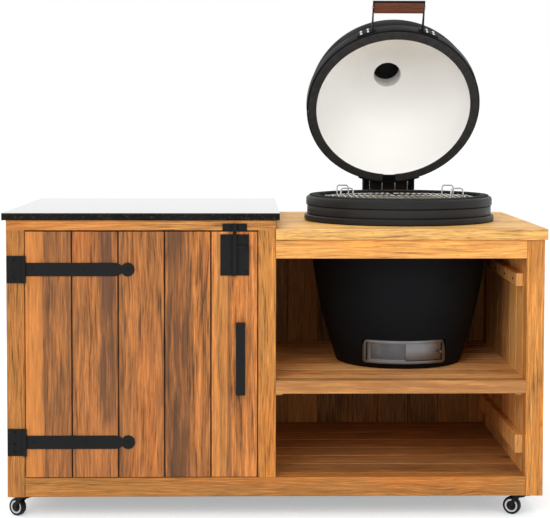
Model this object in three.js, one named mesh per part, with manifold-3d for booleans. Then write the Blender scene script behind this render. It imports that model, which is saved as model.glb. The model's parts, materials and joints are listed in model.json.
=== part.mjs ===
// Kamado grill table: a planked teak cabinet on casters with a stone top on the left,
// and on the right an open bay whose shelf carries a ceramic kamado through the worktop.
// Millimetres, +Z up, +X right, +Y to the back. The lid stands open, as in use.
import * as THREE from 'three';
import { mergeVertices } from 'three/addons/utils/BufferGeometryUtils.js';
import Module from 'manifold-3d';

const wasm = await Module();
wasm.setup();

// Clearances
const overrun = 5;              // how far every cutter runs past what it cuts
const seat = 0.3;               // gap left at round and turned contacts
const runningGap = 0.4;         // gap round pins and in sliding fits
const bite = 1;                 // how far welded or glued pieces of one body reach into each other

// Table frame
const tableWidth = 1500;        // over the outer posts
const frameDepth = 718;         // front of the front posts to the back of the back posts
const postSize = 50;
const edgeChamfer = 2;
const casterHeight = 64;
const railHeight = 54;          // bottom rails
const worktopTop = 816;
const worktopThickness = 30;
const worktopOverhang = 8;      // past the frame at the front and the back
const worktopSideOverhang = 7;
const worktopPlank = 83;
const topFrameTop = 840;        // the frame on the cabinet that carries the stone
const topFrameThickness = 28;
const graniteThickness = 20;
const graniteOverhang = 11;     // past the cabinet at the left
const graniteInnerOverhang = 10;
const graniteChamfer = 2;
const apronHeight = 53;
const apronThickness = 25;

// Cladding boards
const boardThickness = 15;
const boardWidth = 103;
const veeDepth = 2.5;           // V joint between boards
const battenThickness = 20;
const sideBattenHeight = 36;
const sideBattenTop = 686;
const lowBattenHeight = 52;
const lowBattenTop = 226;
const shelfCleatHeight = 30;
const housingDepth = 3;         // groove in the floor that the partition stands in

// Floor and shelf
const floorThickness = 18;
const floorPlank = 103;
const floorBattenWidth = 60;
const floorBattenThickness = 18;
const shelfThickness = 20;
const shelfEdgeHeight = 36;
const shelfEdgeDepth = 22;
const shelfPlank = 90;

// Door and its fittings
const doorGap = 2.5;
const doorTopGap = 4;
const doorThickness = 22;
const doorBoards = 5;
const doorGrooveWidth = 4;
const doorGrooveDepth = 8;
const ledgeHeight = 90;
const ledgeThickness = 18;
const ledgeInset = 60;          // from the door's top, bottom and side edges
const hingeCentres = 484;       // between the two strap hinges
const lowerHingeHeight = 219;
const strapShare = 0.4674;      // strap's length, of the door's width
const strapHeight = 37;
const strapNeckHeight = 21;
const strapTaper = 20;
const strapEndRadius = 19.5;
const leafThickness = 3;
const buttWidth = 46;
const buttHeight = 76;
const knuckleRadius = 5.5;
const knuckleStandOff = 6;      // hinge axis in front of the post's face
const hingePinRadius = 2.5;
const pullWidth = 26;
const pullLength = 199;
const pullBottom = 356;
const pullInset = 46;           // pull's centre from the door's free edge
const pullThickness = 6;
const pullProjection = 34;
const latchWidth = 80;
const latchHeight = 115;
const latchInset = 62.5;        // latch's centre from the door's free edge
const latchDrop = 7;            // latch plate below the door's top
const boltRadius = 4.5;
const boltTravel = 15;
const boltTopGap = 2.5;         // drawn bolt below its keeper
const boltBottomInset = 4;
const tunnelWall = 2.7;
const leverHeight = 10;
const leverThickness = 3;
const leverRise = 74;           // lever above the latch plate's bottom
const keeperWidth = 68;
const keeperHeight = 21;
const keeperTopInset = 9;       // below the top of the stone's frame

// Casters
const casterInsetLeft = 37;     // swivel axis from the table's side
const casterInsetRight = 60;
const casterInsetDepth = 38;
const casterPlateSize = 62;
const casterPlateThickness = 3;
const casterPlateChamfer = 8;
const raceRadius = 17;
const raceHeight = 4;
const kingpinRadius = 4;
const kingpinHeadRadius = 7;
const kingpinHeadHeight = 2.2;
const forkHeadRadius = 19;
const forkHeadThickness = 3.4;
const wheelRadius = 25;
const wheelWidth = 19;
const treadRadius = 6;
const hubRadius = 14;
const hubDish = 3;
const axleRadius = 4;
const casterTrail = 20;
const cheekThickness = 2.5;
const cheekGap = 1.2;
const cheekRadius = 8;
const casterAngles = { front_left: 148, front_right: 152, back_left: 25, back_right: 205 };

// Kamado body, measured from its foot
const bowlHeight = 426;         // foot to the underside of the shoulder flange
const bowlRadius = 268;         // just under the flange
const bowlTaper = 80;           // foot narrower than the bowl
const bowlCurveShare = 1.85;    // exponent of the bowl's belly
const bowlWall = 28;
const bowlFloor = 30;
const footRound = 5;
const baySpare = 178;           // bay wider than the kamado's flange, over its posts
const holeClearance = 4;        // between bowl and worktop cut-out
const flangeRadius = 286.5;
const flangeHeight = 19;
const flangeRound = 4;
const neckRadius = 275;
const neckHeight = 28;
const lipRadius = 281;
const lipHeight = 27;           // above the band's recess, up to the gasket
const lipRound = 8;
const mouthRadius = 242.5;      // inside of both rims
const bandThickness = 2.7;
const bandInset = 2;            // base band inside its recess, top and bottom
const gasketThickness = 4;
const gasketWidth = 26;

// Lid, measured from its rim plane, closed
const lidOpenAngle = 60.5;      // degrees
const lidRadius = 269;
const lidHeight = 254;          // outside of the dome
const lidWall = 23;
const domeShare = 2.5;          // exponent of the dome's curve
const lidClosedGap = 0.5;
const lidBandThickness = 4;
const lidBandInset = 2;
const lidBandHeight = 34;
const neckBore = 44;
const chimneyRadius = 58;
const chimneyHeight = 32;
const gasketBreak = 41;         // butt gap of the lid's gasket at the hinge
const capWall = 7;
const capHeight = 26;
const capTop = 6;
const ventHoles = 5;
const ventHoleRadius = 8.9;
const ventPitchRadius = 29;
const wheelDiscRadius = 52;
const wheelDiscThickness = 4;
const wheelPivotRadius = 5;
const wheelPivotHead = 9;
const wheelPivotHeadHeight = 3;
const wheelTabLength = 22;
const wheelTabWidth = 14;

// Lid hinge, springs and handle
const hingeOffset = 305;        // hinge axis behind the kamado's axis
const hingeDrop = 14;           // hinge axis below the base rim
const pinRadius = 7;
const pinHeadRadius = 10;
const pinHeadLength = 3;
const earSpacing = 70;          // inner face of the base ears from the centre
const earThickness = 5;
const earHeadRadius = 13;
const armGap = 4;               // between base ears and lid arms
const armThickness = 5;
const bracketPlate = 4;
const bracketHalfAngle = 21;    // degrees, lid bracket's wing on the band
const baseBracketHalfAngle = 16;
const armRise = 10;             // lid arms' plate above the band's lower edge
const armDepth = 26;
const springRadius = 10;        // middle of the wire
const springWire = 3.6;
const springTurns = 3;          // turns in each half of a double spring
const springInner = 21;         // legs from the centre
const springOuter = 62;
const springBend = 7;           // width of the middle loop
const springLoopLength = 11;
const springLegAngle = 24;      // degrees
const handleLength = 150;
const handleBarHeight = 33;
const handleBarDepth = 24;
const handleBarRound = 4;
const handleReach = 88;         // band to the outer plate
const handleStrap = 4;
const handleStrapWidth = 26;
const handleFootStart = 14;     // degrees from the middle
const handleFootEnd = 27;

// Draft vent in the foot of the bowl
const ventBottom = 18;          // above the foot
const ventHeight = 68;
const ventChord = 242;
const ventRadius = 207;         // face of the frame
const ventDepth = 10.5;
const ventPlate = 2.5;
const ventBorder = 8;
const ventRail = 3;
const ventEndAngle = 1;         // degrees, closed end of the door's channel
const ventCornerRadius = 9;
const ventPocketGap = 2;
const draftWidth = 196;         // opening through the ceramic
const draftHeight = 44;
const meshColumns = 6;          // in each half
const meshRows = 3;
const meshHole = 8;
const draftDoorThickness = 2;
const draftDoorGap = 1;
const draftDoorHalfStart = 0.6; // degrees
const draftKnobRadius = 5;
const draftKnobLength = 16;

// Inside the bowl
const fireBowlFoot = 52;        // height of the fire bowl's foot ring
const fireBowlFootRadius = 148;
const fireBowlHeight = 217;
const fireBowlWall = 18;
const fireBowlHole = 100;
const fireGap = 6;              // fire bowl and ring inside the ceramic
const fireRingWall = 20;
const fireArchWidth = 130;
const charcoalGrateRadius = 122;
const charcoalGrateThickness = 9;
const charcoalSlots = 7;
const charcoalSlotWidth = 9;
const charcoalRim = 14;
const grateGap = 5;             // cooking grate inside the mouth
const grateSplit = 4;           // between the two halves
const grateDrop = 6;            // grate's top below the base gasket's top
const grateRimWire = 3;
const grateBarWidth = 3.4;
const grateBars = 12;           // in each half
const grateBraceShares = [-0.4, 0.4];
const loopWire = 2.4;
const loopHeight = 28;
const loopBars = [8, 10];       // bars that a lifting loop stands on, counted from the split
const loopPlaceShares = [-0.42, 0.42];

// Facets
const roundSegments = 40;
const hiddenSegments = 24;
const capSegments = 20;
const wheelSegments = 12;
const smallSegments = 10;
const cornerSegments = 3;
const bowlSteps = 6;
const domeSteps = 7;
const tubeSides = 6;
const springSides = 5;
const ventFineness = 1.3;       // facets of the bent vent plates, against the other round pieces
const coilSteps = 8;            // facets in each turn of a spring
const bendSteps = 4;

// Derived places of the frame
const leftX = -tableWidth / 2;
const rightX = tableWidth / 2;
const cabinetRight = rightX - 2 * flangeRadius - baySpare;
const midLeft = cabinetRight - postSize;
const innerLeft = leftX + postSize;
const innerRight = rightX - postSize;
const backY = frameDepth + boardThickness;
const partitionFace = (midLeft + cabinetRight - boardThickness) / 2;
const railTop = casterHeight + railHeight;
const worktopUnder = worktopTop - worktopThickness;
const topFrameUnder = topFrameTop - topFrameThickness;
const worktopRight = rightX + worktopSideOverhang;
const worktopFront = -worktopOverhang;
const worktopBack = backY + worktopOverhang;
const shelfTop = worktopTop + seat - bowlHeight;
const kamadoX = (cabinetRight + worktopRight) / 2;
const kamadoY = (worktopFront + worktopBack) / 2;

// Derived heights of the kamado, above its foot
const flangeTop = bowlHeight + flangeHeight;
const neckTop = flangeTop + neckHeight;
const lipTop = neckTop + lipHeight;
const rimTop = lipTop + gasketThickness;
const hingeZ = rimTop - hingeDrop;
const lidRim = rimTop + lidClosedGap + gasketThickness;

// Shared finishes
function finish(color, roughness, metalness) {
  return new THREE.MeshStandardMaterial({ color, roughness, metalness });
}
const teak = finish(0xd69a58, 0.65, 0);
const paleTeak = finish(0xe6aa62, 0.6, 0);
const darkTeak = finish(0xb97f4a, 0.7, 0);
const stone = finish(0x141210, 0.12, 0);
const blackSteel = finish(0x1e1e1e, 0.55, 0.6);
const stainless = finish(0xb4b2ae, 0.3, 1);
const blackCeramic = finish(0x17171a, 0.6, 0);
const fireClay = finish(0xb9a88f, 0.85, 0);
const felt = finish(0x4c4a46, 0.95, 0);
const castIron = finish(0x242424, 0.75, 0.5);
const handleWood = finish(0x7a3f26, 0.55, 0);
const tyreRubber = finish(0x1a1a1a, 0.8, 0);

// Solids and their meshes

function flipFaces(geometry) {
  const index = geometry.index;
  for (let i = 0; i < index.count; i += 3) {
    const second = index.getX(i + 1);
    index.setX(i + 1, index.getX(i + 2));
    index.setX(i + 2, second);
  }
}

function signedVolume(geometry) {
  const [a, b, c] = [new THREE.Vector3(), new THREE.Vector3(), new THREE.Vector3()];
  const { position } = geometry.attributes;
  let volume = 0;
  for (let i = 0; i < geometry.index.count; i += 3) {
    a.fromBufferAttribute(position, geometry.index.getX(i));
    b.fromBufferAttribute(position, geometry.index.getX(i + 1));
    c.fromBufferAttribute(position, geometry.index.getX(i + 2));
    volume += a.dot(b.cross(c)) / 6;
  }
  return volume;
}

// One closed body from any three.js geometry: corners merged, faces pointing out.
function toSolid(geometry) {
  const bare = new THREE.BufferGeometry();
  bare.setAttribute('position', geometry.attributes.position.clone());
  if (geometry.index) bare.setIndex(geometry.index.clone());
  const merged = mergeVertices(bare);
  const corners = [];
  for (let i = 0; i < merged.index.count; i += 3) {
    const face = [merged.index.getX(i), merged.index.getX(i + 1), merged.index.getX(i + 2)];
    if (new Set(face).size === face.length) corners.push(...face);
  }
  merged.setIndex(corners);
  if (signedVolume(merged) < 0) flipFaces(merged);
  return new wasm.Manifold(new wasm.Mesh({
    numProp: 3,
    vertProperties: new Float32Array(merged.attributes.position.array),
    triVerts: new Uint32Array(merged.index.array),
  }));
}

function toGeometry(body) {
  const mesh = body.getMesh();
  const geometry = new THREE.BufferGeometry();
  geometry.setAttribute('position', new THREE.BufferAttribute(new Float32Array(mesh.vertProperties), 3));
  geometry.setIndex(new THREE.BufferAttribute(new Uint32Array(mesh.triVerts), 1));
  geometry.computeVertexNormals();
  return geometry;
}

const join = (...bodies) => bodies.flat().reduce((whole, body) => whole.add(body));
const cut = (body, ...tools) => tools.flat().reduce((rest, tool) => rest.subtract(tool), body);

function block([x0, x1], [y0, y1], [z0, z1]) {
  const geometry = new THREE.BoxGeometry(x1 - x0, y1 - y0, z1 - z0);
  geometry.translate((x0 + x1) / 2, (y0 + y1) / 2, (z0 + z1) / 2);
  return toSolid(geometry);
}

const axes = {
  x: [new THREE.Vector3(0, 1, 0), new THREE.Vector3(0, 0, 1), new THREE.Vector3(1, 0, 0)],
  y: [new THREE.Vector3(0, 0, 1), new THREE.Vector3(1, 0, 0), new THREE.Vector3(0, 1, 0)],
  z: [new THREE.Vector3(1, 0, 0), new THREE.Vector3(0, 1, 0), new THREE.Vector3(0, 0, 1)],
};

// An outline in (Y, Z), (Z, X) or (X, Y) drawn out along X, Y or Z, with this many facets in each of its arcs.
function prism(axis, shape, from, to, arcFacets = smallSegments) {
  const curveSegments = Math.ceil(arcFacets / 2);
  const geometry = new THREE.ExtrudeGeometry(shape, { depth: to - from, bevelEnabled: false, curveSegments });
  geometry.translate(0, 0, from);
  geometry.applyMatrix4(new THREE.Matrix4().makeBasis(...axes[axis]));
  return toSolid(geometry);
}

const outline = (points) => new THREE.Shape(points.map(([u, v]) => new THREE.Vector2(u, v)));

function rectangle(u0, u1, v0, v1) {
  return outline([[u0, v0], [u1, v0], [u1, v1], [u0, v1]]);
}

function chamferedRectangle(u0, u1, v0, v1, chamfer) {
  return outline([
    [u0 + chamfer, v0], [u1 - chamfer, v0], [u1, v0 + chamfer], [u1, v1 - chamfer],
    [u1 - chamfer, v1], [u0 + chamfer, v1], [u0, v1 - chamfer], [u0, v0 + chamfer],
  ]);
}

function roundedRectangle(u0, u1, v0, v1, radius) {
  const shape = new THREE.Shape();
  shape.absarc(u1 - radius, v0 + radius, radius, -Math.PI / 2, 0);
  shape.absarc(u1 - radius, v1 - radius, radius, 0, Math.PI / 2);
  shape.absarc(u0 + radius, v1 - radius, radius, Math.PI / 2, Math.PI);
  shape.absarc(u0 + radius, v0 + radius, radius, Math.PI, 3 * Math.PI / 2);
  return shape;
}

function circle(u, v, radius) {
  const shape = new THREE.Shape();
  shape.absarc(u, v, radius, 0, 2 * Math.PI);
  return shape;
}

// A turned body about Z from its half section of [radius, height] corners.
function turned(section, segments = roundSegments) {
  const closed = section.map(([r, z]) => new THREE.Vector2(r, z));
  if (section[0][0] > 0) closed.push(closed[0].clone());
  const geometry = new THREE.LatheGeometry(closed, segments);
  geometry.rotateX(Math.PI / 2);
  return toSolid(geometry);
}

const ring = (inner, outer, z0, z1, segments = roundSegments) => turned(
  [[inner, z0], [outer, z0], [outer, z1], [inner, z1]], segments);

const disc = (radius, z0, z1, segments = roundSegments) => turned(
  [[0, z0], [radius, z0], [radius, z1], [0, z1]], segments);

// A curved plate about Z: from one angle to another, in degrees from the front, positive to the right.
function curvedPlate(inner, outer, fromAngle, toAngle, z0, z1, middle = -90, fineness = 1) {
  const start = THREE.MathUtils.degToRad(middle + fromAngle);
  const end = THREE.MathUtils.degToRad(middle + toAngle);
  const shape = new THREE.Shape();
  shape.absarc(0, 0, outer, start, end, false);
  shape.absarc(0, 0, inner, end, start, true);
  const share = Math.abs(toAngle - fromAngle) / 360;
  return prism('z', shape, z0, z1, Math.max(cornerSegments, Math.ceil(share * roundSegments * fineness)));
}

// A bar with its long edges eased, along one axis.
const bar = (axis, u, v, from, to) => prism(axis, chamferedRectangle(...u, ...v, edgeChamfer), from, to);

// One unbroken round tube along a list of points, with flat ends.
function tube(points, radius, sides = tubeSides) {
  const rings = [];
  let normal = null;
  points.forEach((point, i) => {
    const before = points[Math.max(i - 1, 0)];
    const after = points[Math.min(i + 1, points.length - 1)];
    const along = after.clone().sub(before).normalize();
    if (!normal) {
      const across = new THREE.Vector3(0, 1, 0);
      if (Math.abs(along.y) > Math.abs(along.z)) across.set(0, 0, 1);
      normal = new THREE.Vector3().crossVectors(along, across).normalize();
    }
    normal = normal.clone().addScaledVector(along, -normal.dot(along)).normalize();
    const side = new THREE.Vector3().crossVectors(along, normal);
    rings.push(Array.from({ length: sides }, (_, k) => {
      const angle = 2 * Math.PI * k / sides;
      return point.clone().addScaledVector(normal, radius * Math.cos(angle))
        .addScaledVector(side, radius * Math.sin(angle));
    }));
  });
  const corners = rings.flat().flatMap((p) => [p.x, p.y, p.z]);
  const faces = [];
  for (let i = 0; i + 1 < rings.length; i += 1) {
    for (let k = 0; k < sides; k += 1) {
      const [a, b] = [i * sides + k, i * sides + (k + 1) % sides];
      faces.push(a, b, a + sides, b, b + sides, a + sides);
    }
  }
  const last = (rings.length - 1) * sides;
  for (let k = 1; k + 1 < sides; k += 1) {
    faces.push(0, k + 1, k, last, last + k, last + k + 1);
  }
  const geometry = new THREE.BufferGeometry();
  geometry.setAttribute('position', new THREE.Float32BufferAttribute(corners, 3));
  geometry.setIndex(faces);
  return toSolid(geometry);
}

function add(parent, name, body, material) {
  const mesh = new THREE.Mesh(toGeometry(body), material);
  mesh.name = name;
  parent.add(mesh);
  return mesh;
}

function groupAt(parent, x, y, z) {
  const group = new THREE.Group();
  group.position.set(x, y, z);
  parent.add(group);
  return group;
}

// Boards side by side: an outline in (along, across) with a V joint at both faces between boards.
function boardOutline(start, end, face, back, width) {
  const count = Math.max(1, Math.round((end - start) / width));
  const pitch = (end - start) / count;
  const near = [];
  const far = [];
  for (let i = 1; i < count; i += 1) {
    const joint = start + i * pitch;
    near.push([joint - veeDepth, face], [joint, face + veeDepth], [joint + veeDepth, face]);
    far.unshift([joint + veeDepth, back], [joint, back - veeDepth], [joint - veeDepth, back]);
  }
  return [[start, face], ...near, [end, face], [end, back], ...far, [start, back]];
}

// Wooden frame

function addFrame(table) {
  const frontPost = [0, postSize];
  const backPost = [frameDepth - postSize, frameDepth];
  const posts = [
    ['post_front_left', [leftX, innerLeft], frontPost, casterHeight, topFrameUnder],
    ['post_front_middle', [midLeft, cabinetRight], frontPost, railTop, topFrameUnder],
    ['post_front_right', [innerRight, rightX], frontPost, casterHeight, worktopUnder],
    ['post_back_left', [leftX, innerLeft], backPost, casterHeight, topFrameUnder],
    ['post_back_middle', [midLeft, cabinetRight], backPost, railTop, topFrameUnder],
    ['post_back_right', [innerRight, rightX], backPost, casterHeight, worktopUnder],
  ];
  for (const [name, x, y, bottom, top] of posts) {
    add(table, name, bar('z', x, y, bottom, top), teak);
  }

  const railZ = [casterHeight, railTop];
  add(table, 'rail_bottom_front', bar('x', frontPost, railZ, innerLeft, innerRight), teak);
  add(table, 'rail_bottom_back', bar('x', backPost, railZ, innerLeft, innerRight), teak);
  const railSpan = [postSize, frameDepth - postSize];
  add(table, 'rail_bottom_left', bar('y', railZ, [leftX, innerLeft], ...railSpan), teak);
  add(table, 'rail_bottom_right', bar('y', railZ, [innerRight, rightX], ...railSpan), teak);
  add(table, 'apron_front', bar('x', [0, apronThickness], [worktopUnder - apronHeight, worktopUnder],
    cabinetRight, innerRight), paleTeak);

  const topFrame = chamferedRectangle(leftX, cabinetRight, 0, backY, edgeChamfer);
  topFrame.holes.push(rectangle(innerLeft, midLeft, postSize, frameDepth - postSize));
  add(table, 'top_frame', prism('z', topFrame, topFrameUnder, topFrameTop), teak);
}

function addCladding(table) {
  const back = boardOutline(leftX, rightX, frameDepth, backY, boardWidth);
  const lowSide = block([cabinetRight, rightX + overrun], [frameDepth - overrun, backY + overrun],
    [worktopUnder, topFrameUnder + overrun]);
  const backApron = bar('x', [frameDepth - apronThickness, frameDepth + bite],
    [worktopUnder - apronHeight, worktopUnder], cabinetRight, innerRight);
  const backBoards = cut(prism('z', outline(back), casterHeight, topFrameUnder), lowSide);
  add(table, 'back_panel', join(backBoards, backApron), darkTeak);

  const [frontEnd, backEnd] = [postSize, frameDepth - postSize];
  const sides = [
    ['side_panel_right', innerRight, 1, worktopUnder, true],
    ['side_panel_left', innerLeft, -1, topFrameUnder, false],
  ];
  for (const [name, face, outward, top, carriesShelf] of sides) {
    const boards = boardOutline(frontEnd, backEnd, 0, boardThickness, boardWidth)
      .map(([y, x]) => [face + outward * x, y]);
    const inner = [face - outward * battenThickness, face + outward * bite].sort((a, b) => a - b);
    const batten = (upper, height) => bar('y', [upper - height, upper], inner, frontEnd, backEnd);
    const battens = [batten(sideBattenTop, sideBattenHeight), batten(lowBattenTop, lowBattenHeight)];
    if (carriesShelf) battens.push(batten(shelfTop - shelfThickness, shelfCleatHeight));
    add(table, name, join(prism('z', outline(boards), railTop, top), battens), darkTeak);
  }

  const boards = boardOutline(frontEnd, backEnd, 0, boardThickness, boardWidth)
    .map(([y, x]) => [partitionFace + x, y]);
  const cleat = bar('y', [shelfTop - shelfThickness - shelfCleatHeight, shelfTop - shelfThickness],
    [partitionFace + boardThickness - bite, cabinetRight + battenThickness], frontEnd, backEnd);
  add(table, 'partition', join(prism('z', outline(boards), railTop - housingDepth, topFrameUnder), cleat),
    darkTeak);
}

function plankOutline(front, back, under, top, width) {
  const count = Math.max(1, Math.round((back - front) / width));
  const pitch = (back - front) / count;
  const points = [[front, under], [back, under], [back, top - edgeChamfer], [back - edgeChamfer, top]];
  for (let i = count - 1; i > 0; i -= 1) {
    const joint = front + i * pitch;
    points.push([joint + veeDepth, top], [joint, top - veeDepth], [joint - veeDepth, top]);
  }
  points.push([front + edgeChamfer, top], [front, top - edgeChamfer]);
  return points;
}

function addSurfaces(table) {
  const floorUnder = railTop - floorThickness;
  const [floorFront, floorBack] = [postSize, frameDepth - postSize];
  const floorBoards = prism('x', outline(plankOutline(floorFront, floorBack, floorUnder, railTop, floorPlank)),
    innerLeft, innerRight);
  const floorMiddle = (innerLeft + innerRight) / 2;
  const floorCentres = [innerLeft + floorBattenWidth, floorMiddle, innerRight - floorBattenWidth];
  const floorBattens = floorCentres.map((x) => bar('y', [floorUnder - floorBattenThickness, floorUnder + bite],
    [x - floorBattenWidth / 2, x + floorBattenWidth / 2], floorFront, floorBack));
  const housing = block([partitionFace - seat, partitionFace + boardThickness + seat],
    [floorFront - overrun, floorBack + overrun], [railTop - housingDepth, railTop + overrun]);
  add(table, 'floor', cut(join(floorBoards, floorBattens), housing), darkTeak);

  const shelfUnder = shelfTop - shelfThickness;
  const shelfBoards = prism('x', outline(plankOutline(0, frameDepth, shelfUnder, shelfTop, shelfPlank)),
    cabinetRight, innerRight);
  const shelfEdge = block([cabinetRight, innerRight], [0, shelfEdgeDepth],
    [shelfTop - shelfEdgeHeight, shelfUnder + bite]);
  add(table, 'grill_shelf', join(shelfBoards, shelfEdge), darkTeak);

  const planks = plankOutline(worktopFront, worktopBack, worktopUnder, worktopTop, worktopPlank);
  const slab = prism('x', outline(planks), cabinetRight, worktopRight);
  const hole = disc(bowlRadius + holeClearance, worktopUnder - overrun, worktopTop + overrun)
    .translate([kamadoX, kamadoY, 0]);
  add(table, 'worktop', cut(slab, hole), paleTeak);

  const graniteTop = topFrameTop + graniteThickness;
  const graniteEdge = chamferedRectangle(worktopFront, worktopBack, topFrameTop, graniteTop, graniteChamfer);
  const graniteSides = [leftX - graniteOverhang, cabinetRight + graniteInnerOverhang];
  add(table, 'granite_top', prism('x', graniteEdge, ...graniteSides), stone);
}

// Door with strap hinges, pull and slide bolt

const doorLeft = innerLeft + doorGap;
const doorRight = midLeft - doorGap;
const strapLength = strapShare * (doorRight - doorLeft);
const doorBottom = railTop + doorGap;
const doorTop = topFrameUnder - doorTopGap;

function addDoor(table) {
  const pitch = (doorRight - doorLeft) / doorBoards;
  const grooves = [];
  const backGrooves = [];
  for (let i = 1; i < doorBoards; i += 1) {
    const x = doorLeft + i * pitch;
    const half = doorGrooveWidth / 2;
    grooves.push([x - half, 0], [x - half, doorGrooveDepth], [x + half, doorGrooveDepth], [x + half, 0]);
    backGrooves.unshift([x + veeDepth, doorThickness], [x, doorThickness - veeDepth],
      [x - veeDepth, doorThickness]);
  }
  const boards = outline([[doorLeft, 0], ...grooves, [doorRight, 0],
    [doorRight, doorThickness], ...backGrooves, [doorLeft, doorThickness]]);
  const ledge = (bottom) => bar('x', [doorThickness - bite, doorThickness + ledgeThickness],
    [bottom, bottom + ledgeHeight], doorLeft + ledgeInset, doorRight - ledgeInset);
  const ledges = [ledge(doorBottom + ledgeInset), ledge(doorTop - ledgeInset - ledgeHeight)];
  add(table, 'door', join(prism('z', boards, doorBottom, doorTop), ledges), teak);
  addStrapHinge(table, 'lower', lowerHingeHeight);
  addStrapHinge(table, 'upper', lowerHingeHeight + hingeCentres);
  addPull(table);
  addLatch(table);
}

function addStrapHinge(table, place, z) {
  const axisY = -knuckleStandOff;
  const knuckle = (from, to) => prism('z', circle(innerLeft, axisY, knuckleRadius), from, to);
  const middle = [z - strapHeight / 2, z + strapHeight / 2];
  const ends = [z - buttHeight / 2, z + buttHeight / 2];

  const butt = block([innerLeft - knuckleRadius / 2 - buttWidth, innerLeft - knuckleRadius / 2],
    [-leafThickness, 0], ends);
  const notch = block([innerLeft - knuckleRadius - runningGap, innerLeft + knuckleRadius + overrun],
    [-2 * knuckleStandOff, overrun],
    [middle[0] - runningGap, middle[1] + runningGap]);
  const pin = prism('z', circle(innerLeft, axisY, hingePinRadius), ...ends);
  const buttLeaf = join(cut(join(butt, knuckle(...ends)), notch), pin);
  add(table, `hinge_butt_${place}`, buttLeaf, blackSteel);

  const tip = innerLeft + strapLength + knuckleRadius;
  const endCentre = tip - strapEndRadius;
  const neckDrop = Math.sqrt(strapEndRadius ** 2 - (strapNeckHeight / 2) ** 2);
  const neck = endCentre - neckDrop;
  const strap = new THREE.Shape();
  const start = innerLeft + doorGap;
  strap.moveTo(-strapHeight / 2, start);
  strap.lineTo(-strapHeight / 2, neck - strapTaper);
  strap.quadraticCurveTo(-strapHeight / 2, neck - strapTaper / 2, -strapNeckHeight / 2, neck);
  strap.absarc(0, endCentre, strapEndRadius, Math.atan2(-neckDrop, -strapNeckHeight / 2),
    Math.atan2(-neckDrop, strapNeckHeight / 2), true);
  strap.quadraticCurveTo(strapHeight / 2, neck - strapTaper / 2, strapHeight / 2, neck - strapTaper);
  strap.lineTo(strapHeight / 2, start);
  const flat = prism('y', strap, -leafThickness, 0).translate([0, 0, z]);
  const bore = prism('z', circle(innerLeft, axisY, hingePinRadius + runningGap),
    middle[0] - overrun, middle[1] + overrun);
  const root = block([innerLeft, start + bite], [-leafThickness, -runningGap], middle);
  add(table, `hinge_strap_${place}`, cut(join(flat, knuckle(...middle), root), bore), blackSteel);
}

function addPull(table) {
  const x = doorRight - pullInset;
  const top = pullBottom + pullLength;
  const profile = outline([[0, pullBottom], [-pullProjection, pullBottom], [-pullProjection, top], [0, top],
    [0, top - pullThickness], [-pullProjection + pullThickness, top - pullThickness],
    [-pullProjection + pullThickness, pullBottom + pullThickness], [0, pullBottom + pullThickness]]);
  add(table, 'door_pull', prism('x', profile, x - pullWidth / 2, x + pullWidth / 2), blackSteel);
}

function addLatch(table) {
  const x = doorRight - latchInset;
  const y = -leafThickness - boltRadius;
  const bore = boltRadius + runningGap;
  const top = doorTop - latchDrop;
  const bottom = top - latchHeight;
  const lever = [bottom + leverRise, bottom + leverRise + leverHeight];
  const leverFront = y - leverThickness / 2;
  const tunnel = (from, to) => {
    const hood = prism('z', circle(x, y, bore + tunnelWall), from, to);
    const behind = block([x - latchWidth, x + latchWidth], [-leafThickness / 2, latchWidth],
      [from - overrun, to + overrun]);
    return cut(hood, behind);
  };
  const boring = (from, to) => prism('z', circle(x, y, bore), from - overrun, to + overrun);

  const plate = block([x - latchWidth / 2, x + latchWidth / 2], [-leafThickness, 0], [bottom, top]);
  const slot = block([x, x + latchWidth / 2 + overrun],
    [leverFront - runningGap, leverFront + leverThickness + runningGap],
    [lever[0] - runningGap, lever[1] + boltTravel + runningGap]);
  add(table, 'latch_body', cut(join(plate, tunnel(bottom, top)), boring(bottom, top), slot), blackSteel);

  const keeperBottom = topFrameTop - keeperTopInset - keeperHeight;
  const keeperTop = keeperBottom + keeperHeight;
  const boltTop = keeperBottom - boltTopGap;
  const rod = prism('z', circle(x, y, boltRadius), bottom + boltBottomInset, boltTop);
  const arm = block([x, x + latchWidth / 2], [leverFront, leverFront + leverThickness], lever);
  const grip = block([x + latchWidth / 2 - leverThickness, x + latchWidth / 2],
    [leverFront - leverHeight, leverFront + bite], lever);
  add(table, 'latch_bolt', join(rod, arm, grip), blackSteel);

  const keeperEnds = [keeperBottom, keeperTop];
  const keeper = block([x - keeperWidth / 2, x + keeperWidth / 2], [-leafThickness, 0], keeperEnds);
  add(table, 'latch_keeper', cut(join(keeper, tunnel(...keeperEnds)), boring(...keeperEnds)), blackSteel);
}

// Casters: a fixed plate with its rivet, a swivelling fork and a turning wheel

function casterPlate() {
  const half = casterPlateSize / 2;
  const under = casterHeight - casterPlateThickness;
  const square = chamferedRectangle(-half, half, -half, half, casterPlateChamfer);
  const plate = prism('z', square, under, casterHeight);
  const raceUnder = under - raceHeight;
  const headTop = raceUnder - forkHeadThickness - 2 * runningGap;
  const rivet = turned([[0, headTop - kingpinHeadHeight], [kingpinHeadRadius, headTop - kingpinHeadHeight],
    [kingpinHeadRadius, headTop], [kingpinRadius, headTop], [kingpinRadius, raceUnder],
    [raceRadius, raceUnder], [raceRadius, under + bite], [0, under + bite]], smallSegments);
  return join(plate, rivet);
}

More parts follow.
